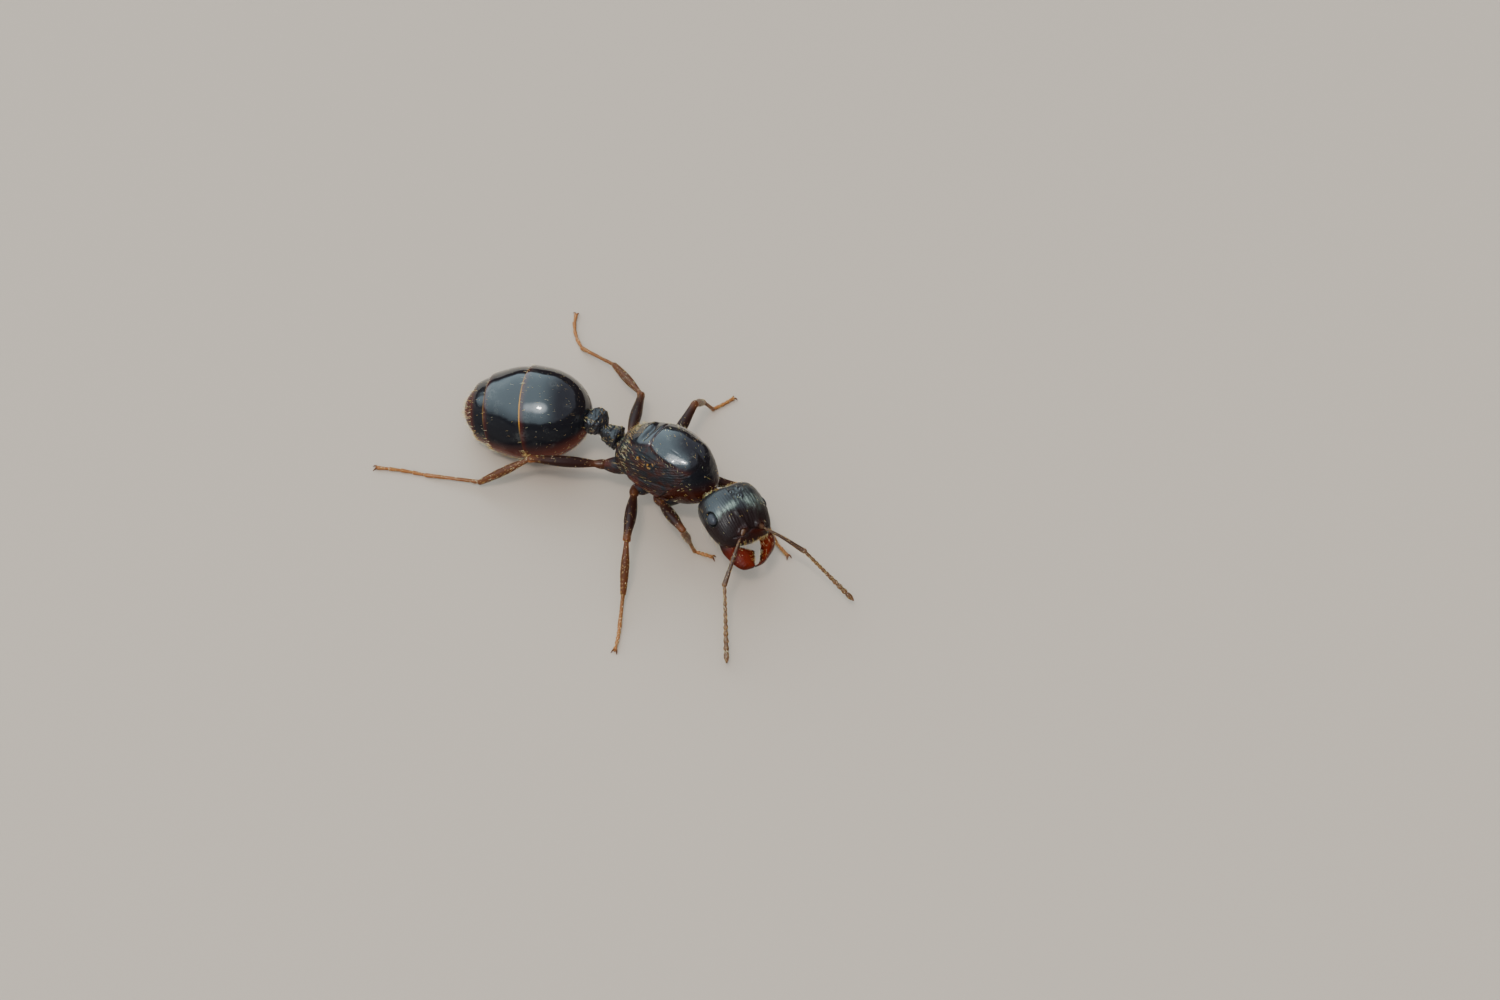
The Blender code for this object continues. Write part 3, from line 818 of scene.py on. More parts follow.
@cache
def ocellus_finish():
    made = Finish("ocellus_lens", HEAD_FRAME, IOR=1.5, Coat_Weight=0.3, Coat_Roughness=0.1)
    cloud = made.noise(8.0)
    base = made.blend(cloud, colours().black, (0.02, 0.016, 0.012))
    return made.done(base, 0.15 + 0.1 * cloud, cloud, 0.002)


@cache
def limb_finish():
    """Legs: near black in the thick of a segment, red-brown at its joints, orange at the feet."""
    made, tints = Finish("leg_cuticle", IOR=1.20, Coat_Weight=0.08, Coat_Roughness=0.15), colours()
    grit, cloud = made.noise(14.0, 3.0), made.noise(2.5, 3.0)
    shade = made.mark("hue") + 0.22 * (cloud - 0.5)
    base = made.blend(shade.step(0.0, 0.5), tints.femur, tints.knee)
    base = made.blend(shade.step(0.5, 1.0), base, tints.foot)
    return made.done(base, 0.24 + 0.20 * grit, grit, 0.014)


@cache
def feeler_finish():
    made = Finish("feeler_cuticle", IOR=1.35, Coat_Weight=0.05, Coat_Roughness=0.25)
    hue, grit = made.mark("hue"), made.noise(20.0, 3.0)
    base = made.blend(hue, colours().femur, colours().feeler)
    base = made.blend(grit.step(0.55, 0.8) * hue * 0.5, base, (0.17, 0.10, 0.050))
    return made.done(base, 0.34 + 0.20 * grit, grit, 0.012)


@cache
def hair_finish():
    made = Finish("golden_hair", IOR=1.4, Subsurface_Weight=0.2, Subsurface_Scale=0.00005)
    cloud = made.noise(2.5)
    base = made.blend(cloud.step(0.48, 0.60), colours().hair, (0.86, 0.66, 0.38))
    return made.done(base, 0.30 + 0.15 * cloud, cloud, 0.001)


@cache
def floor_finish():
    made = Finish("floor")
    cloud = made.noise(0.02)
    base = made.blend(cloud * 0.2, colours().floor, (0.41, 0.31, 0.24))
    return made.done(base, 0.7 + 0.1 * cloud, cloud, 0.01)


# --- Trunk and waist ----------------------------------------------------------------------


def from_seams(p):
    """Distances of points past the trunk's collar, wing line, scutellar seam and rear seam."""
    wing = np.where(p[:, 0] > AXILLA[0][0], beyond(WING_LINE, p), beyond(AXILLA, p))
    return beyond(COLLAR, p), wing, beyond(SCUTELLAR, p), beyond(REAR, p)


def plate_relief(p, middle, upper):
    """Seams, lips, lines and bosses of the trunk's plates, in millimetres outwards."""
    x, y, z = p.T
    across = np.abs(y)
    collar, wing, scutellar, rear = from_seams(p)
    low = smooth(1.0, 0.6, z)
    seams = (
        mound(collar, 0.04) * (0.12 + 0.5 * low)
        + mound(wing, 0.06) * middle * smooth(3.2, 2.7, x)
        + mound(scutellar, 0.045) * upper * smooth(0, 0.05, rear)
        + mound(rear, 0.06)
    )
    lips = 0.35 * mound(wing - 0.12, 0.08) * middle * upper * smooth(3.2, 2.7, x)
    plate = upper * middle
    front = plate * smooth(0, 0.1, scutellar)
    lines = 0.35 * mound(y, 0.022) * smooth(2.5, 3.2, x) * front
    lines += 0.30 * mound(across - 0.66, 0.025) * smooth(1.7, 1.9, x) * smooth(3.0, 2.7, x) * front
    boss = 0.07 * mound(x - 0.93 - 0.1 * across, 0.16) * smooth(0.95, 0.5, across) * plate
    boss = boss - 0.07 * mound(x - 1.20 + 0.12 * across, 0.10) * smooth(0.9, 0.5, across) * plate
    boss = boss + 0.12 * mound(reach(np.stack([x, across, z], 1), SHOULDER), 0.45)
    return boss - sizes().seam / MM * (seams - lips + lines)


def side_relief(scars, p, base, side):
    """Scars, folds, ridges and spiracles of the trunk's sides, on points p carved from base."""
    x, across, z = base[:, 0], np.abs(base[:, 1]), base[:, 2]
    collar, _, _, rear = from_seams(base)
    fold, ruga = sizes().fold / MM, sizes().ruga / MM
    pleural = beyond(PLEURAL, p)
    wrinkles = 0.7 * waves(8.5 * pleural + 1.6 * grain(p, 1.1, 1))
    rings = waves(7.5 * x + 1.2 * grain(p + 9, 1.3, 1)) * smooth(0.0, 0.12, -rear)
    stripes = 0.15 * waves(9.0 * z + 0.8 * grain(p + 5, 1.2, 1)) * smooth(0.05, 0.2, collar)
    spiracle = reach(np.abs(p), SPIRACLE)
    return (
        scars
        + fold * (grain(p, (1.6, 1.6, 2.4)) * side)
        - 0.07 * mound(pleural, 0.06) * side
        + 0.05 * smooth(0, 0.4, -pleural) * side
        + ruga * (wrinkles * side + rings + stripes * smooth(0.3, 0.7, across))
        + 0.035 * mound(spiracle - 0.10, 0.035)
        - 0.07 * mound(spiracle, 0.07)
    )


def trunk_form():
    """The whole trunk with its seams, folds and wing scars worked in."""
    form = Form(*TRUNK_GRID).section(TRUNK)
    base = form.points()
    x, _, z = base.T
    collar, wing, scutellar, rear = from_seams(base)
    middle = smooth(-0.06, 0.04, -collar) * smooth(-0.04, 0.06, rear)
    upper, side = smooth(-0.05, 0.05, wing), smooth(-0.02, 0.08, -wing) * middle
    form.carve(plate_relief(base, middle, upper))
    p, scars, scarred = form.points(), 0, 0
    for place, radius in WING_SCARS:
        from_scar = reach(np.abs(p), place)
        scars = scars + 0.05 * mound(from_scar - radius, 0.045) - 0.09 * mound(from_scar, 0.8 * radius)
        scarred = scarred + 6 * radius * mound(from_scar - radius, 0.03)
    form.carve(side_relief(scars * middle, p, base, side))
    shade = 0.5 * mound(wing, 0.09) * middle + 0.4 * mound(scutellar, 0.06) * upper
    form.mark("seam", np.clip(shade + 0.6 * mound(rear, 0.12), 0, 1))
    form.mark("amber", 0.5 * smooth(0.1, -0.6, z) * side)
    form.mark("scar", np.clip(scarred * middle * smooth(0.0, 0.3, grain(p, 5.0)), 0, 1))
    form.mark("low", smooth(1.05, 0.35, z))
    return form.mark("flank", smooth(0.80, 0.52, form.normals()[:, 2]))


def trunk():
    form = trunk_form()
    for name, (slot, cuts) in PLATES.items():
        look = plate_finish() if slot == "trunk_shell" else side_finish()
        skin(f"{name}_plate", form.kept(cuts), TRUNK_FRAME, look, name)
    x, _, z = form.points().T
    collar, wing, _, rear = from_seams(form.points())
    low = smooth(0.0, 0.25, -wing)
    flanks = low * smooth(2.9, 1.2, x) * smooth(-0.9, -0.3, z)
    # Count, where, lie, rise and length of each tuft.
    rows = (
        (150, flanks, (-1, 0, 0.5), 0.8, 0.20),
        (60, low * smooth(1.6, 2.6, x), (-1, 0, -0.3), 0.7, 0.16),
        (90, mound(wing, 0.16) * smooth(0, 0.2, -collar), (-0.6, 0, 1), 1.1, 0.18),
        (100, mound(rear, 0.16) * smooth(0.0, 0.7, z), (-1, 0, 0.6), 1.2, 0.28),
        (45, smooth(0.1, 0.4, wing), (-1, 0, 0.2), 1.5, 0.14),
        (45, smooth(0.0, 0.3, collar), (1, 0, 0.4), 1.2, 0.20),
        (160, smooth(-0.7, -1.0, z), (-0.4, 0, -1), 1.3, 0.22),
    )
    return [tuft(form, TRUNK_FRAME, *row, seed) for seed, row in enumerate(rows, 1)]


def neck():
    """Ringed stalk between trunk and head."""
    start, end, radius = NECK
    ends = TRUNK_FRAME @ Vector(start), HEAD_FRAME @ Vector(end)
    form = Form(*NECK_GRID).tube(straight(*ends, 3), (1.1 * radius, 0.85 * radius, 1.05 * radius))
    form.carve(0.018 * np.sin(form.t * 60)).mark("seam", 0.5).mark("amber", 0.5).mark("scar", 0.0)
    skin("neck_skin", joined(form), WORLD, side_finish(), "neck")


def waist():
    """Two rugose nodes with hair on their tops."""
    tufts = []
    for seed, (name, rows) in enumerate((("petiole", PETIOLE), ("postpetiole", POSTPETIOLE)), 20):
        form = Form(*WAIST_GRID).section(rows)
        p = form.points()
        rugae = 0.8 * waves(6.5 * p[:, 0] + 1.5 * grain(p, 1.8)) + 3.0 * grain(p, 4.5)
        form.carve(sizes().ruga / MM * rugae * form.middle_fade(0.0, 0.2))
        skin(f"{name}_node", joined(form), TRUNK_FRAME, waist_finish(), name)
        top = smooth(-0.2, 0.4, p[:, 2]) + 0.15
        tufts.append(tuft(form, TRUNK_FRAME, 70, top, (-1, 0, 0.3), 1.1, 0.19, seed))
    return tufts


# --- Gaster -------------------------------------------------------------------------------


def gaster_form():
    """The whole gaster, a little wider at its front."""
    form = Form(*GASTER_GRID)
    x, y, z = form.ball.T
    swell = 1.0 + GASTER_SWELL * x
    return form.mould(np.stack([x, y * swell, z * swell], 1) * np.array(GASTER_RADII))


def gaster_plate(form, x, low, rear, front):
    """Works one plate's lip, groove and membrane in, and gives the cuts that leave the plate."""
    lip = sizes().lip / MM
    groove = mound((low - GROOVE_ANGLE) * GROOVE_RADIUS, 0.045)
    offset = -0.014 * groove + 0.006 * grain(form.points(), 0.8, 1)
    # The lower half turns red-brown as a painted warm reflection; the groove, rear rims and tip are brown
    # thin cuticle.
    thin_and_painted_reflection = 0.9 * smooth(-0.05, 0.60, low) + 0.3 * groove
    band = 0.0
    cuts = []
    if rear is not None:
        offset = offset + lip * (0.35 + 0.65 * mound(x - rear, 0.30)) * smooth(rear - 0.4, rear, x)
        thin_and_painted_reflection = thin_and_painted_reflection + 0.30 * mound(x - rear, 0.14)
        cuts.append((((rear, 0, 0), (1, 0, 0)), 1))
    if front is not None:
        offset = offset - lip * mound(x - front, 0.40)
        # Painted highlight: the membrane band is brightest well up the side, where the key light would catch
        # it.
        painted_band_highlight = 0.55 + 0.6 * mound(-low - 0.75, 0.35)
        strength = 1.0 if front == GASTER_SEAMS[-1] else 0.3
        band = smooth(front - 0.075, front - 0.05, x) * strength * painted_band_highlight
        band = np.clip(band * (1 - 0.9 * smooth(-0.60, -0.15, low)), 0, 1)
        cuts.append((((front + TUCK, 0, 0), (1, 0, 0)), -1))
    thin_and_painted_reflection = thin_and_painted_reflection + 0.5 * smooth(-1.9, -2.7, x)
    form.carve(offset).mark("thin_and_painted_reflection", np.clip(thin_and_painted_reflection, 0, 1)).mark("band", band)
    up = form.normals() @ np.array(GASTER_FRAME.to_3x3())[2]
    form.mark("gloss", 0.06 + 0.94 * smooth(-0.20, -0.50, low) * smooth(0.38, 0.72, up))
    return cuts


def gaster_tufts(form, i, x, low, rear, front):
    """Hair of one plate: over its back, along its rear edge, on its belly and at the tip."""
    bare = 1.0 if front is None else smooth(front, front - 0.2, x)
    start = -3.0 if rear is None else rear
    here = bare * smooth(start - 0.02, start + 0.06, x)
    spread = here * (0.25 + smooth(-0.2, 1.6, x)) if front is None else here
    back, belly = (-1, 0, 0), here * smooth(0.4, 0.9, low)
    tufts = [tuft(form, GASTER_FRAME, BACK_HAIRS[i], spread, back, 0.16, 0.14, 30 + i)]
    if rear is not None:
        fringe = here * mound(x - start, 0.16) * (0.06 + smooth(-0.1, 0.5, low))
        tufts.append(tuft(form, GASTER_FRAME, FRINGE_HAIRS, fringe, back, 0.45, 0.22, 40 + i))
    tufts.append(tuft(form, GASTER_FRAME, BELLY_HAIRS, belly, (-1, 0, -0.3), 0.8, 0.26, 50 + i))
    if rear is None:
        tip = mound(x + GASTER_RADII[0], 0.35)
        tufts.append(tuft(form, GASTER_FRAME, TIP_HAIRS, tip, back, 1.2, 0.30, 60))
    return tufts


def gaster():
    """Four plates, each of which comes out from under the one ahead."""
    edges = (None, *GASTER_SEAMS, None)
    tufts = []
    for i, (rear, front) in enumerate(zip(edges, edges[1:])):
        form = gaster_form()
        x, y, z = form.points().T
        low = np.arctan2(-z, np.abs(y))
        cuts = gaster_plate(form, x, low, rear, front)
        name = f"gaster_{4 - i}"
        skin(f"{name}_plate", form.kept(cuts), GASTER_FRAME, gaster_finish(), name)
        tufts += gaster_tufts(form, i, x, low, rear, front)
    return tufts


# --- Head ---------------------------------------------------------------------------------


def from_eye(half):
    """Distance of points from the eye's middle, 1 at its rim."""
    out = np.array(heading(90, EYE_LEAN))
    axes = np.stack([(1, 0, 0), np.cross(out, (1, 0, 0)), out], 1)
    return np.linalg.norm((half - np.array(EYE_PLACE)) @ axes / (*EYE_RADII[:2], 0.6), axis=1)


def skull_relief(p, half, socket, eye, edge, clypeus):
    """Ridges, lobes, sockets, rims and notches of the skull, in millimetres outwards."""
    x, y, z = p.T
    across = half[:, 1]
    offset = (
        0.06 * mound(stretch(half, *FRONTAL_RIDGE), 0.07)
        + 0.08 * mound(reach(half, FRONTAL_LOBE), 0.12)
        - 0.15 * mound(socket, 0.11)
        + 0.05 * mound(socket - 0.19, 0.05)
        - 0.06 * mound(eye - 1.06, 0.16)
        - 0.03 * smooth(1.0, 0.8, eye)
        + 0.02 * mound(eye - 1.48, 0.20)
        - 0.025 * mound(y, 0.03) * smooth(1.2, 1.6, x) * smooth(2.3, 2.1, x) * smooth(-0.1, 0.3, z)
        + 0.045 * clypeus
        - 0.035 * mound(edge, 0.03) * smooth(-0.1, 0.1, z) * smooth(1.0, 0.8, across)
        - 0.05 * mound(y, 0.35) * smooth(0.5, 0.2, x)
        - 0.03 * mound(stretch(half, *CHEEK_GROOVE), 0.05)
    )
    for ocellus in OCELLI.values():
        near = reach(p, ocellus)
        offset = offset + 0.03 * mound(near - 0.13, 0.05) - 0.03 * mound(near, 0.09)
    return offset


def head_form():
    """Skull with eye rims, feeler sockets, frontal ridges, clypeus and a notched rear."""
    form = Form(*HEAD_GRID).section(SKULL)
    x, y, z = form.points().T
    brow = smooth(2.30, 2.66, x) * mound(y, 0.80) * smooth(-0.16, 0.08, z)
    form.mould(np.stack([x + 0.15 * brow, y, z], 1))
    p = form.points()
    x, y, z = p.T
    across = np.abs(y)
    half = np.stack([x, across, z], 1)
    socket, eye = reach(half, SOCKET), from_eye(half)
    edge = x - 0.5 * z - 2.26 + 0.16 * mound(y, 0.26)
    clypeus = smooth(0, 0.08, edge) * smooth(0.92, 0.72, across) * smooth(-0.15, 0.0, z)
    form.carve(skull_relief(p, half, socket, eye, edge, clypeus))
    striae = waves(11 * form.angle + 0.7 * grain(form.points(), 0.9))
    form.carve(0.0035 * striae * form.middle_fade(0.15, 0.35))
    p = form.points()
    sheen = 0.05 + 0.95 * smooth(1.65, 1.15, x + 0.25 * grain(p, 1.5))
    vertex = x - 1.18 - 0.20 * across - 0.10 * grain(p, 2.0)
    # Painted glint: a band across the top behind the eyes, and a patch about the ocelli.
    painted_glint = mound(vertex, 0.15) * smooth(0.35, 0.65, z) + 0.9 * mound(reach(p, PAINTED_GLINT_SPOT), 0.45)
    mouth = 0.7 * clypeus + 0.8 * mound(socket - 0.1, 0.16) + smooth(2.35, 2.64, x) * smooth(0.2, -0.1, z)
    form.mark("sheen", sheen * (0.68 + 0.32 * smooth(0.5, 1.1, x)))
    form.mark("painted_glint", np.clip(painted_glint, 0, 1))
    # Painted shade in the groove round each eye, which also loses its coat there.
    form.mark("dark", np.clip(mound(eye - 1.15, 0.22), 0, 1))
    return form.mark("mouth", np.clip(mouth, 0, 1))


def head():
    form = head_form()
    skin("head_capsule", joined(form), HEAD_FRAME, head_finish(), "head")
    x, y, z = form.points().T
    brow = smooth(2.45, 2.60, x - 0.5 * z) * smooth(-0.15, 0.0, z) * smooth(0.95, 0.75, np.abs(y))
    # Count, where, lie, rise and length of each tuft.
    rows = (
        (50, smooth(0.0, 0.4, z) * smooth(2.5, 2.2, x), (1, 0, 0.2), 1.2, 0.14),
        (90, smooth(0.5, 0.3, x) * smooth(-0.3, 0.4, z), (-1, 0, 0.6), 1.2, 0.20),
        (60, smooth(-0.6, 0.1, z) * smooth(0.6, 0.0, z), (1, 0, -0.2), 0.7, 0.14),
        (60, brow, (1, 0, -0.8), 0.6, 0.26),
        (90, smooth(-0.45, -0.75, z) * smooth(0.6, 1.0, x), (1, 0, -0.5), 1.0, 0.70),
    )
    return [tuft(form, HEAD_FRAME, *row, seed) for seed, row in enumerate(rows, 70)]


def eyes():
    for name, side in SIDES:
        form = Form(*EYE_GRID).ellipsoid(EYE_RADII)
        lean = np.array(Matrix.Rotation(side * math.radians(EYE_LEAN - 90), 3, "X"))
        form.mould(form.points() @ lean.T + np.array(mirrored(EYE_PLACE, side)))
        skin(f"eye_{name}_lens", joined(form), HEAD_FRAME, eye_finish(), f"eye_{name}")
    for name, place in OCELLI.items():
        form = Form(*OCELLUS_GRID).ellipsoid((OCELLUS_RADIUS,) * 3, place)
        skin(f"ocellus_{name}_lens", joined(form), HEAD_FRAME, ocellus_finish(), f"ocellus_{name}")


def jaw_form(name, side):
    """A broad curved blade, hollow below and convex above, with a toothed inner edge."""
    form = Form(*JAW_GRID)
    outer, inner = (eased(rows, form.t) for rows in JAWS[name])
    depth = eased_number(JAW_DEPTHS, form.t)
    turn = (form.t - TOOTH_START) / TOOTH_ROW * TEETH
    tooth = np.where((turn > 0) & (turn < TEETH), (turn % 1.0) * (1.25 - 0.5 * form.t), 0.0)
    inner = inner + TOOTH_DEPTH * tooth[:, None] * np.array((0.3, -1.0))
    across = np.where(form.pole, 0.0, np.cos(form.angle))
    up = np.where(form.pole, 0.0, np.sin(form.angle))
    middle, half = (outer + inner) / 2, (outer - inner) / 2
    x, y = (middle + across[:, None] * half).T
    blade = depth * up * (1 - 0.45 * smooth(0, -1, across))
    z = JAW_Z - JAW_DROP * form.t - JAW_TILT * across * half[:, 1] + blade + JAW_BELLY * (1 - across**2)
    form.mould(np.stack([x, side * y, z], 1))
    edge = smooth(-0.55, -0.98, across) * smooth(0.36, 0.5, form.t) + smooth(0.90, 0.99, form.t)
    edge = edge + 0.6 * smooth(0.36, 0.10, form.t) + 0.35 * smooth(0.45, 1.0, across)
    return form.mark("edge", np.clip(edge, 0, 1))


def jaws():
    tufts = []
    for seed, (name, side) in enumerate(SIDES, 80):
        form = jaw_form(name, side)
        skin(f"jaw_{name}", joined(form), HEAD_FRAME, jaw_finish(), f"mandible_{name}")
        rim = smooth(0.08, 0.2, form.t) * smooth(0.85, 0.7, form.t)
        inside = rim * smooth(0.2, 0.8, -np.cos(form.angle))
        tufts.append(tuft(form, HEAD_FRAME, 60, inside, (1, 0, -0.1), 0.8, 0.26, seed))
        tufts.append(tuft(form, HEAD_FRAME, 50, rim, (1, 0, -0.1), 0.5, 0.16, seed + 2))
    return tufts


# --- Feelers and legs ---------------------------------------------------------------------


def segment(run, radii, hue, sides=28, rings=30, flat=1.0, cap=0.08):
    """A limb segment with its shade from joint to joint."""
    form = Form(sides, rings).tube(run, [r * sizes().limb for r in radii], cap, flat)
    return form.mark("hue", eased_number(hue, form.t))


def feeler(name, side):
    """Elbowed feeler: a stalk from its socket, and a run of beads that thicken towards the tip."""
    (azimuth, rise, scape), (azimuth_2, rise_2, funiculus) = ANTENNA_POSE[name]
    base = HEAD_FRAME @ mirrored(SOCKET, side)
    way, onward = heading(azimuth, rise), heading(azimuth_2, rise_2)
    elbow, tip = base + scape * way, base + scape * way + funiculus * onward
    bend = Vector((0, 0, 0.07))
    run = [base + 0.16 * way, base + 0.5 * scape * way + bend, elbow - 0.2 * way, elbow]
    root = segment([base - 0.05 * way, base + 0.10 * way], *SCAPE_BASE, cap=0.3)
    stalk = segment(run, *SCAPE, 32, 60, cap=0.04)
    skin(f"scape_{name}_stalk", joined(root, stalk), WORLD, feeler_finish(), f"scape_{name}")
    beads, start, last = [], 0.0, len(BEAD_SHARES) - 1
    for k, share in enumerate(BEAD_SHARES):
        end = start + share / sum(BEAD_SHARES)
        a, b = elbow.lerp(tip, start + 0.004), elbow.lerp(tip, end + 0.006)
        thick = (0.080 + 0.030 * smooth(3, 9, k)) * (1.0 if k else 0.92)
        radii = [v * thick for v in (LAST_BEAD if k == last else BEAD)]
        beads.append(segment(straight(a, b, 4), radii, BEAD_SHADES, 24, 20, cap=0.14))
        start = end
    look = feeler_finish()
    skin(f"funiculus_{name}_beads", joined(*beads), WORLD, look, f"funiculus_{name}")
    rows = [(stalk, 90, way, 0.5, 0.11)] + [(bead, 42, onward, 0.55, 0.085) for bead in beads]
    return limb_hair(rows, 100 + 20 * (side > 0))


def curled(start, span, azimuth, curl, count=5):
    """Level run of points that turns by the curl along its length."""
    points = [start]
    for k in range(count - 1):
        way = azimuth + curl * ((k + 0.5) / (count - 1) - 0.5)
        points.append(points[-1] + span / (count - 1) * heading(way, 0))
    return points


def claws(toe, azimuth):
    """Two hooked claws and the pad between them, resting on the floor."""
    made = []
    for spread in (-CLAW_SPREAD, CLAW_SPREAD):
        way = heading(azimuth + spread, 0)
        hook = [toe, toe + 0.13 * way + Vector((0, 0, 0.035)), toe + 0.22 * way, toe + CLAW_REACH * way]
        hook[2].z, hook[3].z = 0.055, 0.008
        made.append(segment(hook, *CLAW, 12, 16, cap=0.1))
    pad = [toe, toe + 0.10 * heading(azimuth, 0) - Vector((0, 0, 0.03))]
    return [*made, segment(pad, *PAD, 14, 10, cap=0.3)]


def coxa_form(base, hip, radius):
    radii, shades = COXA
    form = segment([base, base.lerp(hip, 0.55), hip], [radius * v for v in radii], shades, 48, 44, cap=0.2)
    form.carve(0.014 * grain(form.points(), 4.0)).mark("seam", 0.0).mark("scar", 0.0)
    return form.mark("amber", 0.3 * smooth(0.5, 0.95, form.t))


def knee_cheeks(knee, thigh, shin, side):
    """Two swellings beside the knee."""
    spread = side * Vector((-thigh.y, thigh.x, 0)).normalized()
    runs = (
        [knee - 0.16 * thigh + s * 0.085 * spread, knee + 0.05 * shin + s * 0.10 * spread] for s in (-1, 1)
    )
    return [segment(run, *KNEE_CHEEK, 16, 12, cap=0.35) for run in runs]


def leg(row, side, name):
    """One leg from hip to claws, whose heel comes down to the toes' height."""
    femur_length, tibia_length, basitarsus_length, tarsus_length = LEG_LENGTHS[row]
    thigh_way, shin_way, foot_azimuth, (azimuth, curl) = LEG_POSE[(row, name)]
    base, hip, coxa_radius = COXAE[row]
    base, hip = TRUNK_FRAME @ mirrored(base, side), TRUNK_FRAME @ mirrored(hip, side)
    thigh, shin = heading(*thigh_way), heading(*shin_way)
    knee = hip + femur_length * thigh
    ankle = knee + tibia_length * shin
    fall = math.degrees(math.asin((TOE_HEIGHT - ankle.z) / basitarsus_length))
    foot = heading(foot_azimuth, fall)
    heel = ankle + basitarsus_length * foot
    coxa = coxa_form(base, hip, coxa_radius)
    hip_run = [hip - 0.10 * thigh, hip + 0.14 * thigh, hip + 0.40 * thigh]
    trochanter = segment(hip_run, *TROCHANTER, cap=0.2)
    femur = segment(straight(hip + 0.28 * thigh, knee, 6), *FEMUR, 44, 56, 0.86, 0.05)
    radii, shades = TIBIA
    radii = [TIBIA_WIDTHS[row] * v for v in radii]
    tibia = segment(straight(knee, ankle, 6), radii, shades, 36, 50, 0.9, 0.05)
    spur_end = ankle + 0.34 * (shin + 0.5 * foot).normalized() - Vector((0, 0, 0.03))
    spur = segment([ankle - 0.05 * shin, ankle.lerp(spur_end, 0.5), spur_end], *SPUR, 12, 16)
    sole = segment(straight(ankle, heel, 4), *BASITARSUS, 24, 34, cap=0.06)
    run = curled(heel, tarsus_length - CLAW_REACH, azimuth, curl)
    toes = [segment(straight(a, a.lerp(b, 1.04), 3), *TOE, 20, 16, cap=0.16) for a, b in zip(run, run[1:])]
    parts = {
        "coxa": [coxa],
        "femur": [trochanter, femur, *knee_cheeks(knee, thigh, shin, side)],
        "tibia": [tibia, spur],
        "basitarsus": [sole],
        "tarsus": toes + claws(run[-1], azimuth + 0.4 * curl),
    }
    for kind, forms in parts.items():
        look, slot = (side_finish(), "trunk_side") if kind == "coxa" else (limb_finish(), "leg")
        skin(f"{kind}_{row}_{name}_skin", joined(*forms), WORLD, look, f"{kind}_{row}_{name}")
    rows = [
        (coxa, 45, thigh, 0.9, 0.20),
        (trochanter, 14, thigh, 0.8, 0.14),
        (femur, 90, thigh, 0.45, 0.15),
        (tibia, 210, shin, 0.42, 0.15),
        (sole, 110, foot, 0.45, 0.13),
        *((toe, 28, heading(azimuth, 0), 0.5, 0.11) for toe in toes),
    ]
    return limb_hair(rows, 200 + 10 * (2 * list(LEG_LENGTHS).index(row) + (side > 0)))


# --- Stage --------------------------------------------------------------------------------


def floor():
    bm = bmesh.new()
    bmesh.ops.create_grid(bm, x_segments=1, y_segments=1, size=FLOOR_HALF)
    mesh = mesh_of("floor", bm)
    mesh.materials.append(floor_finish())
    made = placed("floor", mesh)


def key_light(way):
    """A soft rectangular lamp that faces the ant."""
    light = bpy.data.lights.new("key", "AREA")
    light.shape, light.size, light.size_y = "RECTANGLE", *KEY_SIZE
    light.energy, light.color = KEY_POWER, KEY_TINT
    made = placed("key", light)
    made.location = KEY_DISTANCE * way
    made.rotation_euler = (KEY_DISTANCE * way).to_track_quat("Z", "Y").to_euler()


def surround(key):
    """A pale sky with a ragged low edge, brightest to the camera's left and about the key light."""
    world = bpy.data.worlds.new("surround")
    world.use_nodes = True
    sky = Wiring(world.node_tree)
    way = sky.node("ShaderNodeTexCoord", out="Generated")
    ragged = sky.node("ShaderNodeTexNoise", {}, {"Vector": way, "Scale": SKY_WAVES, "Detail": 2.0})
    height, across, near = (sky.along(way, axis) for axis in ((0, 0, 1), CAMERA_RIGHT, key))
    shade = sky.blend(across.step(*SKY_TURN), SKY_DIM, SKY_BRIGHT)
    shade = sky.blend(near.step(*SKY_GLOWS), shade, SKY_GLOW)
    edge = height - SKY_TILT * across + SKY_WAVER * (ragged - 0.5)
    shade = sky.blend(edge.step(*SKY_ENDS), SKY_LOW, shade)
    sky.feed(world.node_tree.nodes["Background"].inputs["Color"], shade)
    bpy.context.scene.world = world


def camera(back):
    lens = bpy.data.cameras.new("camera")
    lens.lens, lens.sensor_width = CAMERA_LENS, CAMERA_SENSOR
    lens.clip_start, lens.clip_end = CAMERA_RANGE
    made = placed("camera", lens)
    across, up, off = CAMERA_FROM_WAIST
    place = (WAIST + across * CAMERA_RIGHT + up * CAMERA_UP + off * back) * MM
    turn = Matrix((CAMERA_RIGHT, CAMERA_UP, back)).transposed()
    made.matrix_world = Matrix.Translation(place) @ turn.to_4x4()
    bpy.context.scene.camera = made


# --- Operators ----------------------------------------------------------------------------


class AntTrunk(bpy.types.Operator):
    """Builds the trunk's plates, neck and hair"""

    bl_idname, bl_label = "ant.trunk", "Trunk"

    def execute(self, context):
        tufts = trunk()
        neck()
        coat("trunk_hair", tufts)
        return {"FINISHED"}


class AntWaist(bpy.types.Operator):
    """Builds the two nodes of the waist"""

    bl_idname, bl_label = "ant.waist", "Waist"

    def execute(self, context):
        coat("waist_hair", waist())
        return {"FINISHED"}


class AntGaster(bpy.types.Operator):
    """Builds the gaster's four overlapping plates"""

    bl_idname, bl_label = "ant.gaster", "Gaster"

    def execute(self, context):
        coat("gaster_hair", gaster())
        return {"FINISHED"}


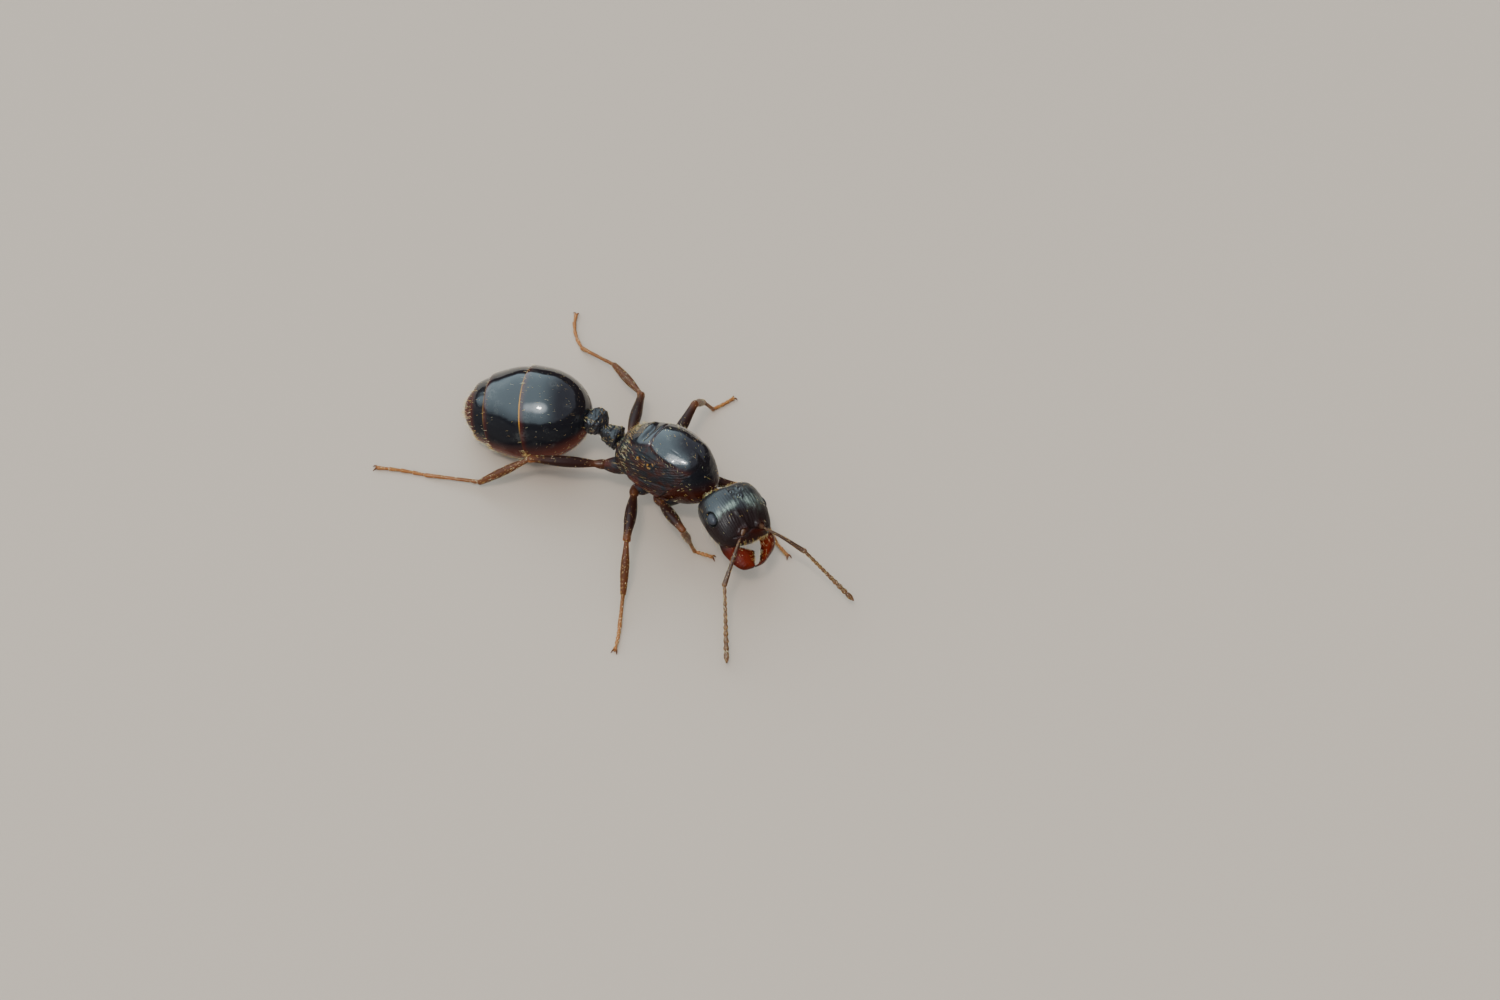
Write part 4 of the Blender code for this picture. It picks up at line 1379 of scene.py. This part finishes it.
class AntHead(bpy.types.Operator):
    """Builds the head capsule, eyes and ocelli"""

    bl_idname, bl_label = "ant.head", "Head"

    def execute(self, context):
        tufts = head()
        eyes()
        coat("head_hair", tufts)
        return {"FINISHED"}


class AntJaws(bpy.types.Operator):
    """Builds the two toothed jaws"""

    bl_idname, bl_label = "ant.jaws", "Jaws"

    def execute(self, context):
        coat("jaw_hair", jaws())
        return {"FINISHED"}


class AntFeelers(bpy.types.Operator):
    """Builds the elbowed feelers"""

    bl_idname, bl_label = "ant.feelers", "Feelers"

    def execute(self, context):
        coat("feeler_hair", [t for name, side in SIDES for t in feeler(name, side)])
        return {"FINISHED"}


class AntLegs(bpy.types.Operator):
    """Builds the six legs, from hip to claws"""

    bl_idname, bl_label = "ant.legs", "Legs"

    def execute(self, context):
        for row in LEG_LENGTHS:
            coat(f"leg_hair_{row}", [t for name, side in SIDES for t in leg(row, side, name)])
        return {"FINISHED"}


class AntStage(bpy.types.Operator):
    """Sets the floor, the lights and the camera"""

    bl_idname, bl_label = "ant.stage", "Stage"

    def execute(self, context):
        floor()
        back = CAMERA_RIGHT.cross(CAMERA_UP)
        key = (KEY[0] * CAMERA_RIGHT + KEY[1] * CAMERA_UP + KEY[2] * back).normalized()
        key_light(key)
        surround(key)
        camera(back)
        return {"FINISHED"}


OPERATORS = (AntTrunk, AntWaist, AntGaster, AntHead, AntJaws, AntFeelers, AntLegs, AntStage)


class AntPanel(bpy.types.Panel):
    """Lists the ant's pieces, sizes and colours"""

    bl_idname, bl_label = "VIEW3D_PT_ant", "Harvester Ant Queen"
    bl_space_type, bl_region_type, bl_category = "VIEW_3D", "UI", "Ant"

    def draw(self, context):
        for operator in OPERATORS:
            self.layout.operator(operator.bl_idname)
        for group in (context.scene.ant_sizes, context.scene.ant_colours):
            box = self.layout.box()
            for name in group.__annotations__:
                box.prop(group, name)


CLASSES = (AntSizes, AntColours, *OPERATORS, AntPanel)


def register():
    for made in CLASSES:
        bpy.utils.register_class(made)
    bpy.types.Scene.ant_sizes = PointerProperty(type=AntSizes)
    bpy.types.Scene.ant_colours = PointerProperty(type=AntColours)


def unregister():
    del bpy.types.Scene.ant_sizes, bpy.types.Scene.ant_colours
    for made in reversed(CLASSES):
        bpy.utils.unregister_class(made)


def main():
    register()
    for operator in (
        bpy.ops.ant.trunk,
        bpy.ops.ant.waist,
        bpy.ops.ant.gaster,
        bpy.ops.ant.head,
        bpy.ops.ant.jaws,
        bpy.ops.ant.feelers,
        bpy.ops.ant.legs,
        bpy.ops.ant.stage,
    ):
        operator()


if __name__ == "__main__":
    main()
